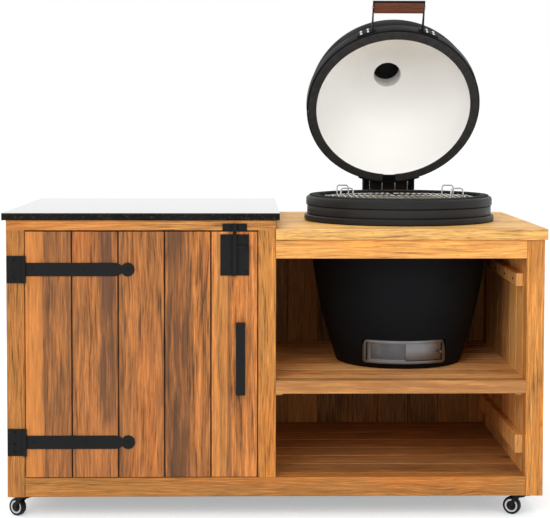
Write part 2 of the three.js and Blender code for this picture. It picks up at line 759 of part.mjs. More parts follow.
function casterFork() {
  const top = casterHeight - casterPlateThickness - raceHeight - runningGap;
  const bottom = top - forkHeadThickness;
  const inside = wheelWidth / 2 + cheekGap;
  const outside = inside + cheekThickness;
  const head = turned([[kingpinRadius + runningGap, bottom], [forkHeadRadius, bottom], [forkHeadRadius, top],
    [kingpinRadius + runningGap, top]], smallSegments);
  const cheek = new THREE.Shape();
  cheek.moveTo(top, forkHeadRadius / 2);
  cheek.lineTo(top, -forkHeadRadius / 2);
  cheek.lineTo(wheelRadius, -casterTrail - cheekRadius);
  cheek.absarc(wheelRadius, -casterTrail, cheekRadius, -Math.PI / 2, Math.PI / 2, true);
  cheek.lineTo(wheelRadius + cheekRadius, -casterTrail + cheekRadius);
  const cheeks = [prism('y', cheek, inside, outside), prism('y', cheek, -outside, -inside)];
  const axle = prism('y', circle(wheelRadius, -casterTrail, axleRadius), -outside, outside);
  const rivetRoom = disc(kingpinHeadRadius + cheekGap, 0, bottom, smallSegments);
  return join(head, cut(join(cheeks[0], cheeks[1], axle), rivetRoom));
}

function casterWheel() {
  const half = wheelWidth / 2;
  const section = [[axleRadius + runningGap, -half], [hubRadius - hubDish, -half],
    [hubRadius, -half + hubDish / 2]];
  const tread = (sign) => [Math.PI / 6, Math.PI / 2].map((angle) => [
    wheelRadius - treadRadius * (1 - Math.sin(angle)),
    sign * (half - treadRadius * (1 - Math.cos(angle))),
  ]);
  section.push(...tread(-1), ...tread(1).reverse());
  section.push([hubRadius, half - hubDish / 2], [hubRadius - hubDish, half], [axleRadius + runningGap, half]);
  return turned(section, wheelSegments).rotate([90, 0, 0]).translate([-casterTrail, 0, wheelRadius]);
}

function addCasters(table) {
  const corners = {
    front_left: [leftX + casterInsetLeft, casterInsetDepth],
    front_right: [rightX - casterInsetRight, casterInsetDepth],
    back_left: [leftX + casterInsetLeft, frameDepth - casterInsetDepth],
    back_right: [rightX - casterInsetRight, frameDepth - casterInsetDepth],
  };
  for (const [corner, [x, y]] of Object.entries(corners)) {
    const caster = groupAt(table, x, y, 0);
    add(caster, `caster_plate_${corner}`, casterPlate(), blackSteel);
    const swivel = groupAt(caster, 0, 0, 0);
    swivel.rotation.z = THREE.MathUtils.degToRad(casterAngles[corner] - 180);
    add(swivel, `caster_fork_${corner}`, casterFork(), blackSteel);
    add(swivel, `caster_wheel_${corner}`, casterWheel(), tyreRubber);
  }
}

// Kamado base

const bowlOuter = (z) => bowlRadius - bowlTaper * (1 - z / bowlHeight) ** bowlCurveShare;
const bowlInner = (z) => bowlOuter(Math.min(z, bowlHeight)) - bowlWall;
const ventInner = ventRadius - ventDepth;
const ventTop = ventBottom + ventHeight;
const ventHalfAngle = THREE.MathUtils.radToDeg(Math.asin(ventChord / 2 / ventRadius));
const draftBottom = ventBottom + (ventHeight - draftHeight) / 2;

// Evenly spaced values from one to the other.
function heights(from, to, steps) {
  return Array.from({ length: steps + 1 }, (_, i) => from + (to - from) * i / steps);
}

function addBase(kamado) {
  const outer = heights(footRound, bowlHeight, bowlSteps).map((z) => [bowlOuter(z), z]);
  const inner = heights(bowlFloor, bowlHeight, bowlSteps / 2).reverse().map((z) => [bowlInner(z), z]);
  const shell = turned([
    [0, 0], [bowlOuter(footRound) - footRound, 0], ...outer,
    [flangeRadius - flangeRound, bowlHeight], [flangeRadius, bowlHeight + flangeRound],
    [flangeRadius, flangeTop - flangeRound], [flangeRadius - flangeRound, flangeTop],
    [neckRadius, flangeTop], [neckRadius, neckTop], [lipRadius, neckTop],
    [lipRadius, lipTop - lipRound], [lipRadius - lipRound / 3, lipTop - lipRound / 3],
    [lipRadius - lipRound, lipTop], [mouthRadius, lipTop], ...inner, [0, bowlFloor],
  ]);
  const pocketAngle = ventHalfAngle + THREE.MathUtils.radToDeg(ventPocketGap / ventRadius);
  const pocket = curvedPlate(ventInner - seat, flangeRadius, -pocketAngle, pocketAngle,
    ventBottom - ventPocketGap, ventTop + ventPocketGap, -90, ventFineness);
  const draft = block([-draftWidth / 2, draftWidth / 2], [-flangeRadius, -fireBowlFootRadius],
    [draftBottom, draftBottom + draftHeight]);
  add(kamado, 'base_shell', cut(shell, pocket, draft), blackCeramic);

  const feltInner = mouthRadius + (lipRadius - lipRound - mouthRadius - gasketWidth) / 2;
  add(kamado, 'base_gasket', ring(feltInner, feltInner + gasketWidth, lipTop, rimTop), felt);
}

// Hoop round the base's neck with the ears, the pin and the back plate of the lid hinge.
function addBaseBand(kamado) {
  const bandInner = neckRadius + seat;
  const bandOuter = bandInner + bandThickness;
  const [bottom, top] = [flangeTop + bandInset, neckTop - bandInset];
  const band = ring(bandInner, bandOuter, bottom, top);
  const plate = curvedPlate(bandOuter - bite, bandOuter + bracketPlate,
    -baseBracketHalfAngle, baseBracketHalfAngle, bottom, top, 90);
  const earX = [earSpacing, earSpacing + earThickness];
  const bandY = Math.sqrt(bandInner ** 2 - earX[1] ** 2) + bite;
  const clearY = Math.sqrt(lipRadius ** 2 - earX[0] ** 2) + bracketPlate;
  const ear = new THREE.Shape();
  ear.moveTo(bandY, bottom);
  ear.lineTo(hingeOffset - earHeadRadius / 2, bottom);
  ear.lineTo(hingeOffset + earHeadRadius, hingeZ);
  ear.absarc(hingeOffset, hingeZ, earHeadRadius, 0, Math.PI, false);
  ear.lineTo(clearY, top);
  ear.lineTo(bandY, top);
  const ears = [prism('x', ear, ...earX), prism('x', ear, -earX[1], -earX[0])];
  const pinEnd = earX[1] + armGap + armThickness + armGap;
  const pin = prism('x', circle(hingeOffset, hingeZ, pinRadius), -pinEnd, pinEnd);
  const head = (from) => prism('x', circle(hingeOffset, hingeZ, pinHeadRadius), from, from + pinHeadLength);
  const heads = [head(-pinEnd - pinHeadLength), head(pinEnd)];
  add(kamado, 'base_band', join(band, plate, ears, pin, heads), blackSteel);
}

// Draft vent: a bent stainless frame whose back plate is the spark screen, and its sliding door.
function addDraftVent(kamado) {
  const half = ventChord / 2;
  const channelEnd = ventHalfAngle - ventEndAngle;
  const channel = (outer, low, high) => curvedPlate(ventInner + ventPlate, outer, -channelEnd, channelEnd,
    low, high, -90, ventFineness);
  const view = prism('y', rectangle(ventBottom + ventBorder, ventTop - ventBorder, -half + ventBorder,
    half - ventBorder), -ventRadius - overrun, 0);
  const whole = cut(
    curvedPlate(ventInner, ventRadius, -ventHalfAngle, ventHalfAngle, ventBottom, ventTop, -90, ventFineness),
    channel(ventRadius - ventPlate, ventBottom + ventRail, ventTop - ventRail),
    channel(ventRadius + overrun, ventBottom, ventTop).intersect(view),
  );
  const face = prism('y', roundedRectangle(ventBottom, ventTop, -half, half, ventCornerRadius),
    -ventRadius - overrun, 0, cornerSegments);
  const holes = [];
  const holeSpan = half - 2 * ventBorder;
  for (let column = -meshColumns; column < meshColumns; column += 1) {
    const x = (column + 1 / 2) * holeSpan / meshColumns;
    for (let row = 0; row < meshRows; row += 1) {
      const z = draftBottom + (row + 1 / 2) * draftHeight / meshRows;
      const depth = Math.sqrt(ventInner ** 2 - x ** 2);
      holes.push(block([x - meshHole / 2, x + meshHole / 2], [-depth - 2 * ventPlate, -depth + 2 * ventPlate],
        [z - meshHole / 2, z + meshHole / 2]));
    }
  }
  add(kamado, 'draft_frame', cut(whole.intersect(face), holes), stainless);

  const doorInner = ventInner + ventPlate + draftDoorGap;
  const doorOuter = doorInner + draftDoorThickness;
  const doorEnd = channelEnd - ventEndAngle;
  const [low, high] = [ventBottom + ventRail + runningGap, ventTop - ventRail - runningGap];
  const leaf = curvedPlate(doorInner, doorOuter, draftDoorHalfStart, doorEnd, low, high, -90, ventFineness);
  const knobAngle = doorEnd - THREE.MathUtils.radToDeg((ventBorder + draftKnobRadius) / doorOuter);
  const knobMiddle = draftKnobLength / 2;
  const knob = turned([[0, 0], [draftKnobRadius / 2, 0], [draftKnobRadius / 2, knobMiddle],
    [draftKnobRadius, knobMiddle], [draftKnobRadius, draftKnobLength], [0, draftKnobLength]], smallSegments)
    .rotate([90, 0, 0]).translate([0, -doorOuter + draftDoorThickness / 2, (low + high) / 2])
    .rotate([0, 0, knobAngle]);
  add(kamado, 'draft_door', join(leaf, knob), stainless);
}

// Inside the base

const grateTop = rimTop - grateDrop;
const grateRimMiddle = grateTop - grateBarWidth - grateRimWire + bite;
const grateUnder = grateRimMiddle - grateRimWire;
const fireBowlTop = bowlFloor + fireBowlHeight;

function addFireClay(kamado) {
  const footTop = bowlFloor + fireBowlFoot;
  const topRadius = bowlInner(fireBowlTop) - fireGap;
  const shell = turned([
    [fireBowlFootRadius - fireBowlWall, bowlFloor], [fireBowlFootRadius, bowlFloor],
    [fireBowlFootRadius, footTop], [topRadius, fireBowlTop - fireBowlWall], [topRadius, fireBowlTop],
    [topRadius - fireBowlWall, fireBowlTop], [topRadius - fireBowlWall, fireBowlTop - fireBowlWall],
    [fireBowlFootRadius - fireBowlWall / 2, footTop + fireBowlWall], [fireBowlHole, footTop + fireBowlWall],
    [fireBowlHole, footTop], [fireBowlFootRadius - fireBowlWall, footTop],
  ], hiddenSegments);
  const arch = block([-fireArchWidth / 2, fireArchWidth / 2], [-fireBowlFootRadius - overrun, 0],
    [bowlFloor - overrun, footTop - fireBowlWall / 2]);
  add(kamado, 'fire_bowl', cut(shell, arch), fireClay);
  add(kamado, 'fire_ring', ring(topRadius - fireRingWall, topRadius, fireBowlTop, grateUnder,
    hiddenSegments), fireClay);

  const grateBottom = footTop + fireBowlWall;
  const plate = disc(charcoalGrateRadius, grateBottom, grateBottom + charcoalGrateThickness, hiddenSegments);
  const slots = [];
  const reach = charcoalGrateRadius - charcoalRim;
  for (let i = 0; i < charcoalSlots; i += 1) {
    const x = reach * ((2 * i + 1) / charcoalSlots - 1);
    const length = Math.sqrt(reach ** 2 - x ** 2);
    for (const [from, to] of [[-length, -charcoalSlotWidth / 2], [charcoalSlotWidth / 2, length]]) {
      slots.push(block([x - charcoalSlotWidth / 2, x + charcoalSlotWidth / 2], [from, to],
        [grateBottom - overrun, grateBottom + charcoalGrateThickness + overrun]));
    }
  }
  add(kamado, 'charcoal_grate', cut(plate, slots), castIron);
}

// One half-moon grate: a bent rim wire, bars from front to back, two braces and two lifting loops.
function cookingGrate(side) {
  const radius = mouthRadius - grateGap - grateRimWire;
  const straight = side * (grateSplit / 2 + grateRimWire);
  const halfLength = Math.sqrt(radius ** 2 - straight ** 2);
  const sweep = THREE.MathUtils.radToDeg(Math.asin(halfLength / radius));
  const rimZ = [grateRimMiddle - grateRimWire, grateRimMiddle + grateRimWire];
  const wires = [
    curvedPlate(radius - grateRimWire, radius + grateRimWire, -sweep, sweep, ...rimZ, side > 0 ? 0 : 180),
    block([straight - grateRimWire, straight + grateRimWire], [-halfLength, halfLength], rimZ),
  ];
  const reach = radius - Math.abs(straight);
  const barUnder = grateTop - grateBarWidth;
  for (let i = 1; i <= grateBars; i += 1) {
    const x = straight + side * reach * i / (grateBars + 1);
    const length = Math.sqrt(radius ** 2 - x ** 2);
    wires.push(block([x - grateBarWidth / 2, x + grateBarWidth / 2], [-length, length], [barUnder, grateTop]));
  }
  for (const share of grateBraceShares) {
    const y = share * radius;
    const end = side * Math.sqrt(radius ** 2 - y ** 2);
    const x = [straight, end].sort((a, b) => a - b);
    wires.push(block(x, [y - grateBarWidth / 2, y + grateBarWidth / 2],
      [barUnder - grateBarWidth + bite, barUnder + bite]));
  }
  const [nearX, farX] = loopBars.map((i) => straight + side * reach * i / (grateBars + 1));
  for (const share of loopPlaceShares) {
    const y = share * radius;
    const loopTop = grateTop + loopHeight;
    const loop = [[nearX, barUnder], [nearX, loopTop], [farX, loopTop], [farX, barUnder]];
    wires.push(tube(loop.map(([x, z]) => new THREE.Vector3(x, y, z)), loopWire));
  }
  return join(wires);
}

// Lid, drawn closed and turned open about its hinge

const dome = (radius, height, s) => radius * (1 - (s / height) ** domeShare) ** (1 / domeShare);

function domeLine(radius, height, bore, steps) {
  const last = height * (1 - (bore / radius) ** domeShare) ** (1 / domeShare);
  return Array.from({ length: steps + 1 }, (_, i) => {
    const s = last * Math.sin(Math.PI / 2 * i / steps);
    return [Math.max(dome(radius, height, s), bore), lidRim + s];
  });
}

function addLidShell(lid) {
  const innerHeight = lidHeight - lidWall;
  const outer = domeLine(lidRadius, lidHeight, chimneyRadius, domeSteps);
  const inner = domeLine(mouthRadius, innerHeight, neckBore, domeSteps).reverse();
  const top = lidRim + lidHeight + chimneyHeight;
  const section = [[lidRadius, lidRim], ...outer.slice(1), [chimneyRadius, top], [neckBore, top], ...inner];
  add(lid, 'lid_shell', turned(section), blackCeramic);

  const feltInner = mouthRadius + (lidRadius - mouthRadius - gasketWidth) / 2;
  const felts = ring(feltInner, feltInner + gasketWidth, lidRim - gasketThickness, lidRim - seat);
  const gap = block([-gasketBreak / 2, gasketBreak / 2], [0, lidRadius + overrun],
    [lidRim - 2 * gasketThickness, lidRim]);
  add(lid, 'lid_gasket', cut(felts, gap), felt);
}

// Hoop of the lid with the hinge arms and the plate between them.
function addLidBand(lid) {
  const bandInner = lidRadius + seat;
  const bandOuter = bandInner + lidBandThickness;
  const [bottom, top] = [lidRim + lidBandInset, lidRim + lidBandInset + lidBandHeight];
  const wing = curvedPlate(bandOuter - bite, bandOuter + bracketPlate, -bracketHalfAngle, bracketHalfAngle,
    bottom, top, 90);
  const armX = [earSpacing + earThickness + armGap, earSpacing + earThickness + armGap + armThickness];
  const plateZ = [bottom + armRise, bottom + armRise + bracketPlate];
  const bandY = Math.sqrt(bandInner ** 2 - armX[1] ** 2) + bite;
  const arm = new THREE.Shape();
  arm.moveTo(bandY, bottom + armRise / 2);
  arm.lineTo(hingeOffset - earHeadRadius, hingeZ + earHeadRadius / 2);
  arm.absarc(hingeOffset, hingeZ, earHeadRadius, Math.PI - Math.PI / 6, Math.PI / 6, false);
  arm.lineTo(hingeOffset + earHeadRadius, plateZ[1]);
  arm.lineTo(bandY + armDepth, top);
  arm.lineTo(bandY, top);
  const arms = [prism('x', arm, ...armX), prism('x', arm, -armX[1], -armX[0])];
  const plate = block([-armX[1], armX[1]], [bandY, hingeOffset + earHeadRadius], plateZ);
  const inside = disc(bandInner, bottom - overrun, top + overrun);
  const bore = prism('x', circle(hingeOffset, hingeZ, pinRadius + runningGap), -tableWidth, tableWidth);
  const hoop = join(ring(bandInner, bandOuter, bottom, top), wing, arms, cut(plate, inside));
  add(lid, 'lid_band', cut(hoop, bore), blackSteel);
}

// Double torsion spring on the hinge pin: two legs on the lid's band and a middle loop.
function springPath(centre, sign) {
  const leg = THREE.MathUtils.degToRad(springLegAngle);
  const at = (x, angle, out = 0) => new THREE.Vector3(centre + sign * x,
    hingeOffset + springRadius * Math.sin(angle) + out * Math.cos(angle),
    hingeZ + springRadius * Math.cos(angle) - out * Math.sin(angle));
  const wingFace = lidRadius + seat + lidBandThickness + bracketPlate + seat;
  const span = springOuter - springInner;
  const legLength = (x) => {
    const faceY = Math.sqrt(wingFace ** 2 - x ** 2) + springWire / 2 * Math.sin(leg);
    return (hingeOffset + springRadius * Math.sin(leg) - faceY) / Math.cos(leg);
  };
  const loopAngle = 2 * Math.PI * springTurns + Math.PI / 2 - THREE.MathUtils.degToRad(lidOpenAngle);
  const half = (span - springBend) / 2;
  const wind = heights(0, 1, coilSteps * springTurns).map((t) => [half * t, leg + (loopAngle - leg) * t]);
  const near = wind.map(([x, angle]) => at(x - span / 2, angle));
  const far = wind.map(([x, angle]) => at(span / 2 - x, angle)).reverse();
  const bendRadius = springBend / 2;
  const bend = heights(-Math.PI / 2, Math.PI / 2, bendSteps).map((a) => at(bendRadius * Math.sin(a), loopAngle,
    springLoopLength - bendRadius + bendRadius * Math.cos(a)));
  const innerLeg = [at(-span / 2, leg, -legLength(springInner)), at(-span / 2, leg, -springWire)];
  const outerLeg = [at(span / 2, leg, -springWire), at(span / 2, leg, -legLength(springOuter))];
  return [...innerLeg, ...near, ...bend, ...far, ...outerLeg];
}

// Least distance between turns of a path that are not neighbours, less the wire.
function leastGap(points, wire) {
  let least = Infinity;
  const along = [0];
  for (let i = 1; i < points.length; i += 1) along.push(along[i - 1] + points[i].distanceTo(points[i - 1]));
  for (let i = 0; i < points.length; i += 1) {
    for (let j = i + 1; j < points.length; j += 1) {
      if (along[j] - along[i] > 3 * wire) least = Math.min(least, points[i].distanceTo(points[j]) - wire);
    }
  }
  return least;
}

function addSprings(lid) {
  const middle = (springInner + springOuter) / 2;
  for (const [name, sign] of [['hinge_spring_left', -1], ['hinge_spring_right', 1]]) {
    const path = springPath(sign * middle, sign);
    add(lid, name, tube(path, springWire / 2, springSides), stainless);
    console.log(`${name}: least gap between turns ${leastGap(path, springWire).toFixed(2)} mm`);
  }
}

function addHandle(lid) {
  const bandOuter = lidRadius + seat + lidBandThickness;
  const footInner = bandOuter + seat;
  const bottom = lidRim + lidBandInset + (lidBandHeight - handleStrapWidth) / 2;
  const top = bottom + handleStrapWidth;
  const legX = [handleLength / 2 + seat, handleLength / 2 + seat + handleStrap];
  const reach = footInner + handleReach;
  const feet = [1, -1].map((sign) => {
    const [from, to] = [sign * handleFootStart, sign * handleFootEnd].sort((a, b) => a - b);
    return curvedPlate(footInner, footInner + handleStrap, from, to, bottom, top);
  });
  const legStart = Math.sqrt((footInner + bite) ** 2 - legX[0] ** 2);
  const legs = [block(legX, [-reach, -legStart], [bottom, top]),
    block([-legX[1], -legX[0]], [-reach, -legStart], [bottom, top])];
  const outer = block([-legX[1], legX[1]], [-reach, -reach + handleStrap], [bottom, top]);
  add(lid, 'handle_bracket', join(feet, legs, outer), blackSteel);

  const barY = [-reach + handleStrap + seat, -reach + handleStrap + seat + handleBarHeight];
  const middle = (bottom + top) / 2;
  const barZ = [middle - handleBarDepth / 2, middle + handleBarDepth / 2];
  const section = roundedRectangle(...barY, ...barZ, handleBarRound);
  add(lid, 'handle_bar', prism('x', section, -handleLength / 2, handleLength / 2, cornerSegments), handleWood);
}

function addChimney(lid) {
  const neckTopZ = lidRim + lidHeight + chimneyHeight;
  const inner = (chimneyRadius + seat) / Math.cos(Math.PI / capSegments);
  const outer = inner + capWall;
  const under = neckTopZ + seat;
  const top = under + capTop;
  const pivotTop = top + wheelDiscThickness + 2 * runningGap;
  const headTop = pivotTop + wheelPivotHeadHeight;
  const body = turned([[0, under], [inner, under], [inner, top - capHeight], [outer, top - capHeight],
    [outer, top - capTop / 2], [outer - capTop / 2, top], [wheelPivotRadius, top], [wheelPivotRadius, pivotTop],
    [wheelPivotHead, pivotTop], [wheelPivotHead, headTop], [0, headTop]], capSegments);
  const holes = (turnShare, z0, z1) => Array.from({ length: ventHoles }, (_, i) => {
    const angle = 2 * Math.PI * (i + turnShare) / ventHoles;
    const centre = [ventPitchRadius * Math.cos(angle), ventPitchRadius * Math.sin(angle)];
    return prism('z', circle(...centre, ventHoleRadius), z0 - overrun, z1 + overrun);
  });
  add(lid, 'vent_cap', cut(body, holes(0, under, top)), castIron);

  const wheelUnder = top + runningGap;
  const wheelTop = wheelUnder + wheelDiscThickness;
  const plate = ring(wheelPivotRadius + runningGap, wheelDiscRadius, wheelUnder, wheelTop, capSegments);
  const tab = block([wheelDiscRadius - wheelTabLength / 2, wheelDiscRadius + wheelTabLength],
    [-wheelTabWidth / 2, wheelTabWidth / 2], [wheelUnder, wheelTop]);
  const shutShare = 1 / 2;
  add(lid, 'vent_wheel', join(cut(plate, holes(shutShare, wheelUnder, wheelTop)), tab), castIron);
}

// The whole table

const table = new THREE.Group();
addFrame(table);
addCladding(table);
addSurfaces(table);
addDoor(table);
addCasters(table);

const kamado = groupAt(table, kamadoX, kamadoY, shelfTop);
addBase(kamado);
addBaseBand(kamado);
addDraftVent(kamado);
addFireClay(kamado);
add(kamado, 'cooking_grate_left', cookingGrate(-1), stainless);
add(kamado, 'cooking_grate_right', cookingGrate(1), stainless);

const hingeLine = groupAt(kamado, 0, hingeOffset, hingeZ);
hingeLine.rotation.x = -THREE.MathUtils.degToRad(lidOpenAngle);
const lid = groupAt(hingeLine, 0, -hingeOffset, -hingeZ);
addLidShell(lid);
addLidBand(lid);
addSprings(lid);
addHandle(lid);
addChimney(lid);

// The origin is the middle of the underside of the whole table's box.
const kamadoGrillTable = new THREE.Group();
kamadoGrillTable.add(table);
kamadoGrillTable.updateMatrixWorld(true);
const whole = new THREE.Box3().setFromObject(kamadoGrillTable, true);
const middle = whole.getCenter(new THREE.Vector3());
table.position.set(-middle.x, -middle.y, -whole.min.z);
kamadoGrillTable.updateMatrixWorld(true);

export default kamadoGrillTable;
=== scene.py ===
"""Looks of a teak grill table: a planked cabinet with a stone top beside a ceramic kamado.

Metres, +Z up, +X right and +Y to the back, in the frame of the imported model. The kamado's pieces
are made in millimetres about their own axis with the lid closed, and the lid's are then turned open.
"""

from __future__ import annotations

import json
import logging
import math
from contextlib import contextmanager
from dataclasses import dataclass
from enum import Enum
from functools import cache
from typing import Callable, Iterator, Sequence, Union

import bpy
from mathutils import Matrix, Vector

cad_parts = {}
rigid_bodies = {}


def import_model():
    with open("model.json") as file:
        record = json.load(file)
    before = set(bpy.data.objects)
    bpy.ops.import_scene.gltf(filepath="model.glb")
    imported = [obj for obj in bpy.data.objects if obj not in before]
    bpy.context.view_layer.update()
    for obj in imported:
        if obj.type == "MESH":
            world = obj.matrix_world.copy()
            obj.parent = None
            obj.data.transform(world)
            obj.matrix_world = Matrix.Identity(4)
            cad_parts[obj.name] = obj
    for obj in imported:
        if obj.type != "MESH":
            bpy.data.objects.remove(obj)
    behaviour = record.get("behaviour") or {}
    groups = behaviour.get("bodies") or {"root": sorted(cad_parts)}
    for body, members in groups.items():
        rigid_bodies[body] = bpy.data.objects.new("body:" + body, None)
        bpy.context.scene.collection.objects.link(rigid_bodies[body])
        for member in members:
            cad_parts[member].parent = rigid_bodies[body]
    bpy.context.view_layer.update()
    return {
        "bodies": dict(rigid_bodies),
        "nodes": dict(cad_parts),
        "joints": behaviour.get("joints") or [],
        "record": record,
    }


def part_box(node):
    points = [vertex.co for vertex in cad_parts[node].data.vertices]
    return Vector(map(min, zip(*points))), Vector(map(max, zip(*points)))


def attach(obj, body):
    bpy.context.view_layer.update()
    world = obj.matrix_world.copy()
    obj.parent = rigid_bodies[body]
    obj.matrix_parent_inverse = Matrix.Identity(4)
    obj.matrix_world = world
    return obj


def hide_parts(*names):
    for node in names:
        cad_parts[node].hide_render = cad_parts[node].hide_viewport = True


LOG = logging.getLogger("grill_table")

Point = Sequence[float]
Socket = bpy.types.NodeSocket
Feed = Union[float, Sequence[float], Socket]
Object = bpy.types.Object
Face = bpy.types.MeshPolygon
Shade = tuple[int, int, int]
Pair = tuple[float, float]
Tint = tuple[float, float, float, float]
MM = 0.001
SIDES = (-1, 1)


class Grain(Enum):
    """The way the fibres of a board run: its axis, then the one across the boards."""

    UPRIGHT = ("Z", "X", "Y")
    UPRIGHT_SIDE = ("Z", "Y", "X")
    LENGTHWISE = ("X", "Z", "Y")
    LENGTHWISE_FLAT = ("X", "Y", "Z")
    DEPTHWISE = ("Y", "Z", "X")


def colour(red: int, green: int, blue: int) -> Tint:
    """A screen colour as the linear one that a shader takes.

    Args:
        red: from 0 to 255.
        green: from 0 to 255.
        blue: from 0 to 255.

    Returns:
        The linear colour, opaque.
    """

    def linear(value: int) -> float:
        """One channel, made linear."""
        share = value / 255
        return share / 12.92 if share <= 0.04045 else ((share + 0.055) / 1.055) ** 2.4

    return (linear(red), linear(green), linear(blue), 1.0)


# Shader nodes


@dataclass(frozen=True)
class Pattern:
    """Noise along a board's fibres: cells per metre across and along them, octaves and bounds."""

    across: float
    along: float
    octaves: float = 2.0
    bite: float = 0.5
    low: float = 0.0
    high: float = 1.0


WAVE = Pattern(5, 1.7)
FIGURE = Pattern(66, 5, 5, 0.64)
GROWTH = Pattern(170, 8, 3, 0.55)
FIBRES = Pattern(520, 14)
PORES = Pattern(640, 26, 1, low=0.62, high=0.72)
BROAD = Pattern(7, 1.1)
WARMTH = Pattern(11, 2.3, low=0.5, high=0.72)
CLOUD = Pattern(16, 1.3, 4, 0.6)
DARK_LINES = Pattern(230, 5.5, 3, low=0.58, high=0.68)
SPECKS = Pattern(150, 42, low=0.68, high=0.77)
RAGGED_EDGE = Pattern(45, 3.5, 4, 0.6)
FINE_EDGE = Pattern(260, 7)
MOTTLE = Pattern(90, 6, 4, 0.6, low=0.25, high=0.6)


class Nodes:
    """Adds nodes to one tree and links them.

    Args:
        tree: the node tree of a material or a group.
    """

    def __init__(self, tree: bpy.types.NodeTree) -> None:
        """Keeps the tree."""
        self.tree = tree

    def add(self, kind: str, inputs: dict | None = None, **settings: object) -> bpy.types.Node:
        """Adds a node.

        Args:
            kind: the node's type, without its ShaderNode.
            inputs: socket name or number to a value or to the socket that feeds it.
            settings: the node's own properties.

        Returns:
            The node.
        """
        node = self.tree.nodes.new("ShaderNode" + kind)
        for key, value in settings.items():
            setattr(node, key, value)
        for key, value in (inputs or {}).items():
            self.feed(node.inputs[key], value)
        return node

    def feed(self, socket: Socket, value: Feed) -> None:
        """Links a socket to the one that feeds it, or sets its value.

        Args:
            socket: the input.
            value: what it gets.
        """
        if isinstance(value, bpy.types.NodeSocket):
            self.tree.links.new(value, socket)
        else:
            socket.default_value = value

    def math(self, operation: str, first: Feed, second: Feed = 0.0) -> Socket:
        """One sum on numbers."""
        return self.add("Math", {0: first, 1: second}, operation=operation).outputs[0]

    def plus(self, first: Feed, second: Feed) -> Socket:
        """Two numbers added."""
        return self.math("ADD", first, second)

    def minus(self, first: Feed, second: Feed) -> Socket:
        """The second number taken from the first."""
        return self.math("SUBTRACT", first, second)

    def times(self, first: Feed, second: Feed) -> Socket:
        """Two numbers multiplied."""
        return self.math("MULTIPLY", first, second)

    def swing(self, value: Feed, strength: Feed) -> Socket:
        """How far a value from 0 to 1 moves a tone from its middle, at a strength."""
        return self.times(self.minus(value, 0.5), strength)

    def noise(self, vector: Socket, scale: float, detail: float = 2.0, roughness: float = 0.5) -> Socket:
        """Noise from 0 to 1 at a place."""
        inputs = {"Vector": vector, "Scale": scale, "Detail": detail, "Roughness": roughness}
        return self.add("TexNoise", inputs).outputs[0]

    def grain(self, place: Socket, pattern: Pattern) -> Socket:
        """A pattern of the fibres, from 0 to 1, at a place."""
        stretched = self.stretched(place, pattern.across, pattern.across, pattern.along)
        return self.noise(stretched, 1.0, pattern.octaves, pattern.bite)

    def mask(self, place: Socket, pattern: Pattern, start: float = 0.0, end: float = 1.0) -> Socket:
        """A pattern's mask between its bounds, from start to end."""
        return self.between(self.grain(place, pattern), pattern.low, pattern.high, start, end)

    def between(self, value: Feed, low: Feed, high: Feed, start: Feed = 0.0, end: Feed = 1.0) -> Socket:
        """A smooth step from start to end as the value goes from low to high."""
        inputs = {0: value, 1: low, 2: high, 3: start, 4: end}
        return self.add("MapRange", inputs, interpolation_type="SMOOTHSTEP").outputs[0]

    def mix(self, share: Feed, first: Feed, second: Feed, blend: str = "MIX") -> Socket:
        """Two colours mixed.

        Args:
            share: how much of the second shows.
            first: the colour under it.
            second: the colour over it.
            blend: how they are mixed.

        Returns:
            The mixed colour.
        """
        node = self.add("Mix", data_type="RGBA", blend_type=blend, clamp_factor=True)
        for key, value in ((0, share), (6, first), (7, second)):
            self.feed(node.inputs[key], value)
        return node.outputs[2]

    def vector(self, x: Feed, y: Feed, z: Feed) -> Socket:
        """Three numbers as a vector."""
        return self.add("CombineXYZ", {0: x, 1: y, 2: z}).outputs[0]

    def split(self, vector: Socket) -> list[Socket]:
        """A vector's three numbers."""
        return list(self.add("SeparateXYZ", {0: vector}).outputs)

    def stretched(self, vector: Socket, x: float, y: float, z: float) -> Socket:
        """A vector with each of its numbers multiplied."""
        return self.add("VectorMath", {0: vector, 1: (x, y, z)}, operation="MULTIPLY").outputs[0]

    def moved(self, vector: Socket, offset: Feed) -> Socket:
        """A vector moved by another."""
        return self.add("VectorMath", {0: vector, 1: offset}, operation="ADD").outputs[0]


class Effect:
    """A shader node group that several materials use, built once. Its Place input holds a place.

    Args:
        name: the group's name.
        inputs: input name to its value, a number or a colour.
        outputs: output name to its kind, Float or Color.
    """

    def __init__(self, name: str, inputs: dict[str, Feed], outputs: dict[str, str]) -> None:
        """Makes the group and its sockets."""
        self.tree = bpy.data.node_groups.new(name, "ShaderNodeTree")
        self.tree.interface.new_socket("Place", in_out="INPUT", socket_type="NodeSocketVector")
        for label, value in inputs.items():
            kind = "NodeSocketFloat" if isinstance(value, float) else "NodeSocketColor"
            self.tree.interface.new_socket(label, in_out="INPUT", socket_type=kind).default_value = value
        for label, kind in outputs.items():
            self.tree.interface.new_socket(label, in_out="OUTPUT", socket_type="NodeSocket" + kind)
        self.nodes = Nodes(self.tree)
        self.inputs = self.tree.nodes.new("NodeGroupInput").outputs
        self.outputs = self.tree.nodes.new("NodeGroupOutput").inputs

    def give(self, **results: Socket) -> bpy.types.NodeTree:
        """Links the group's outputs.

        Args:
            results: output name to the socket that feeds it.

        Returns:
            The group's tree.
        """
        for label, socket in results.items():
            self.nodes.feed(self.outputs[label], socket)
        return self.tree


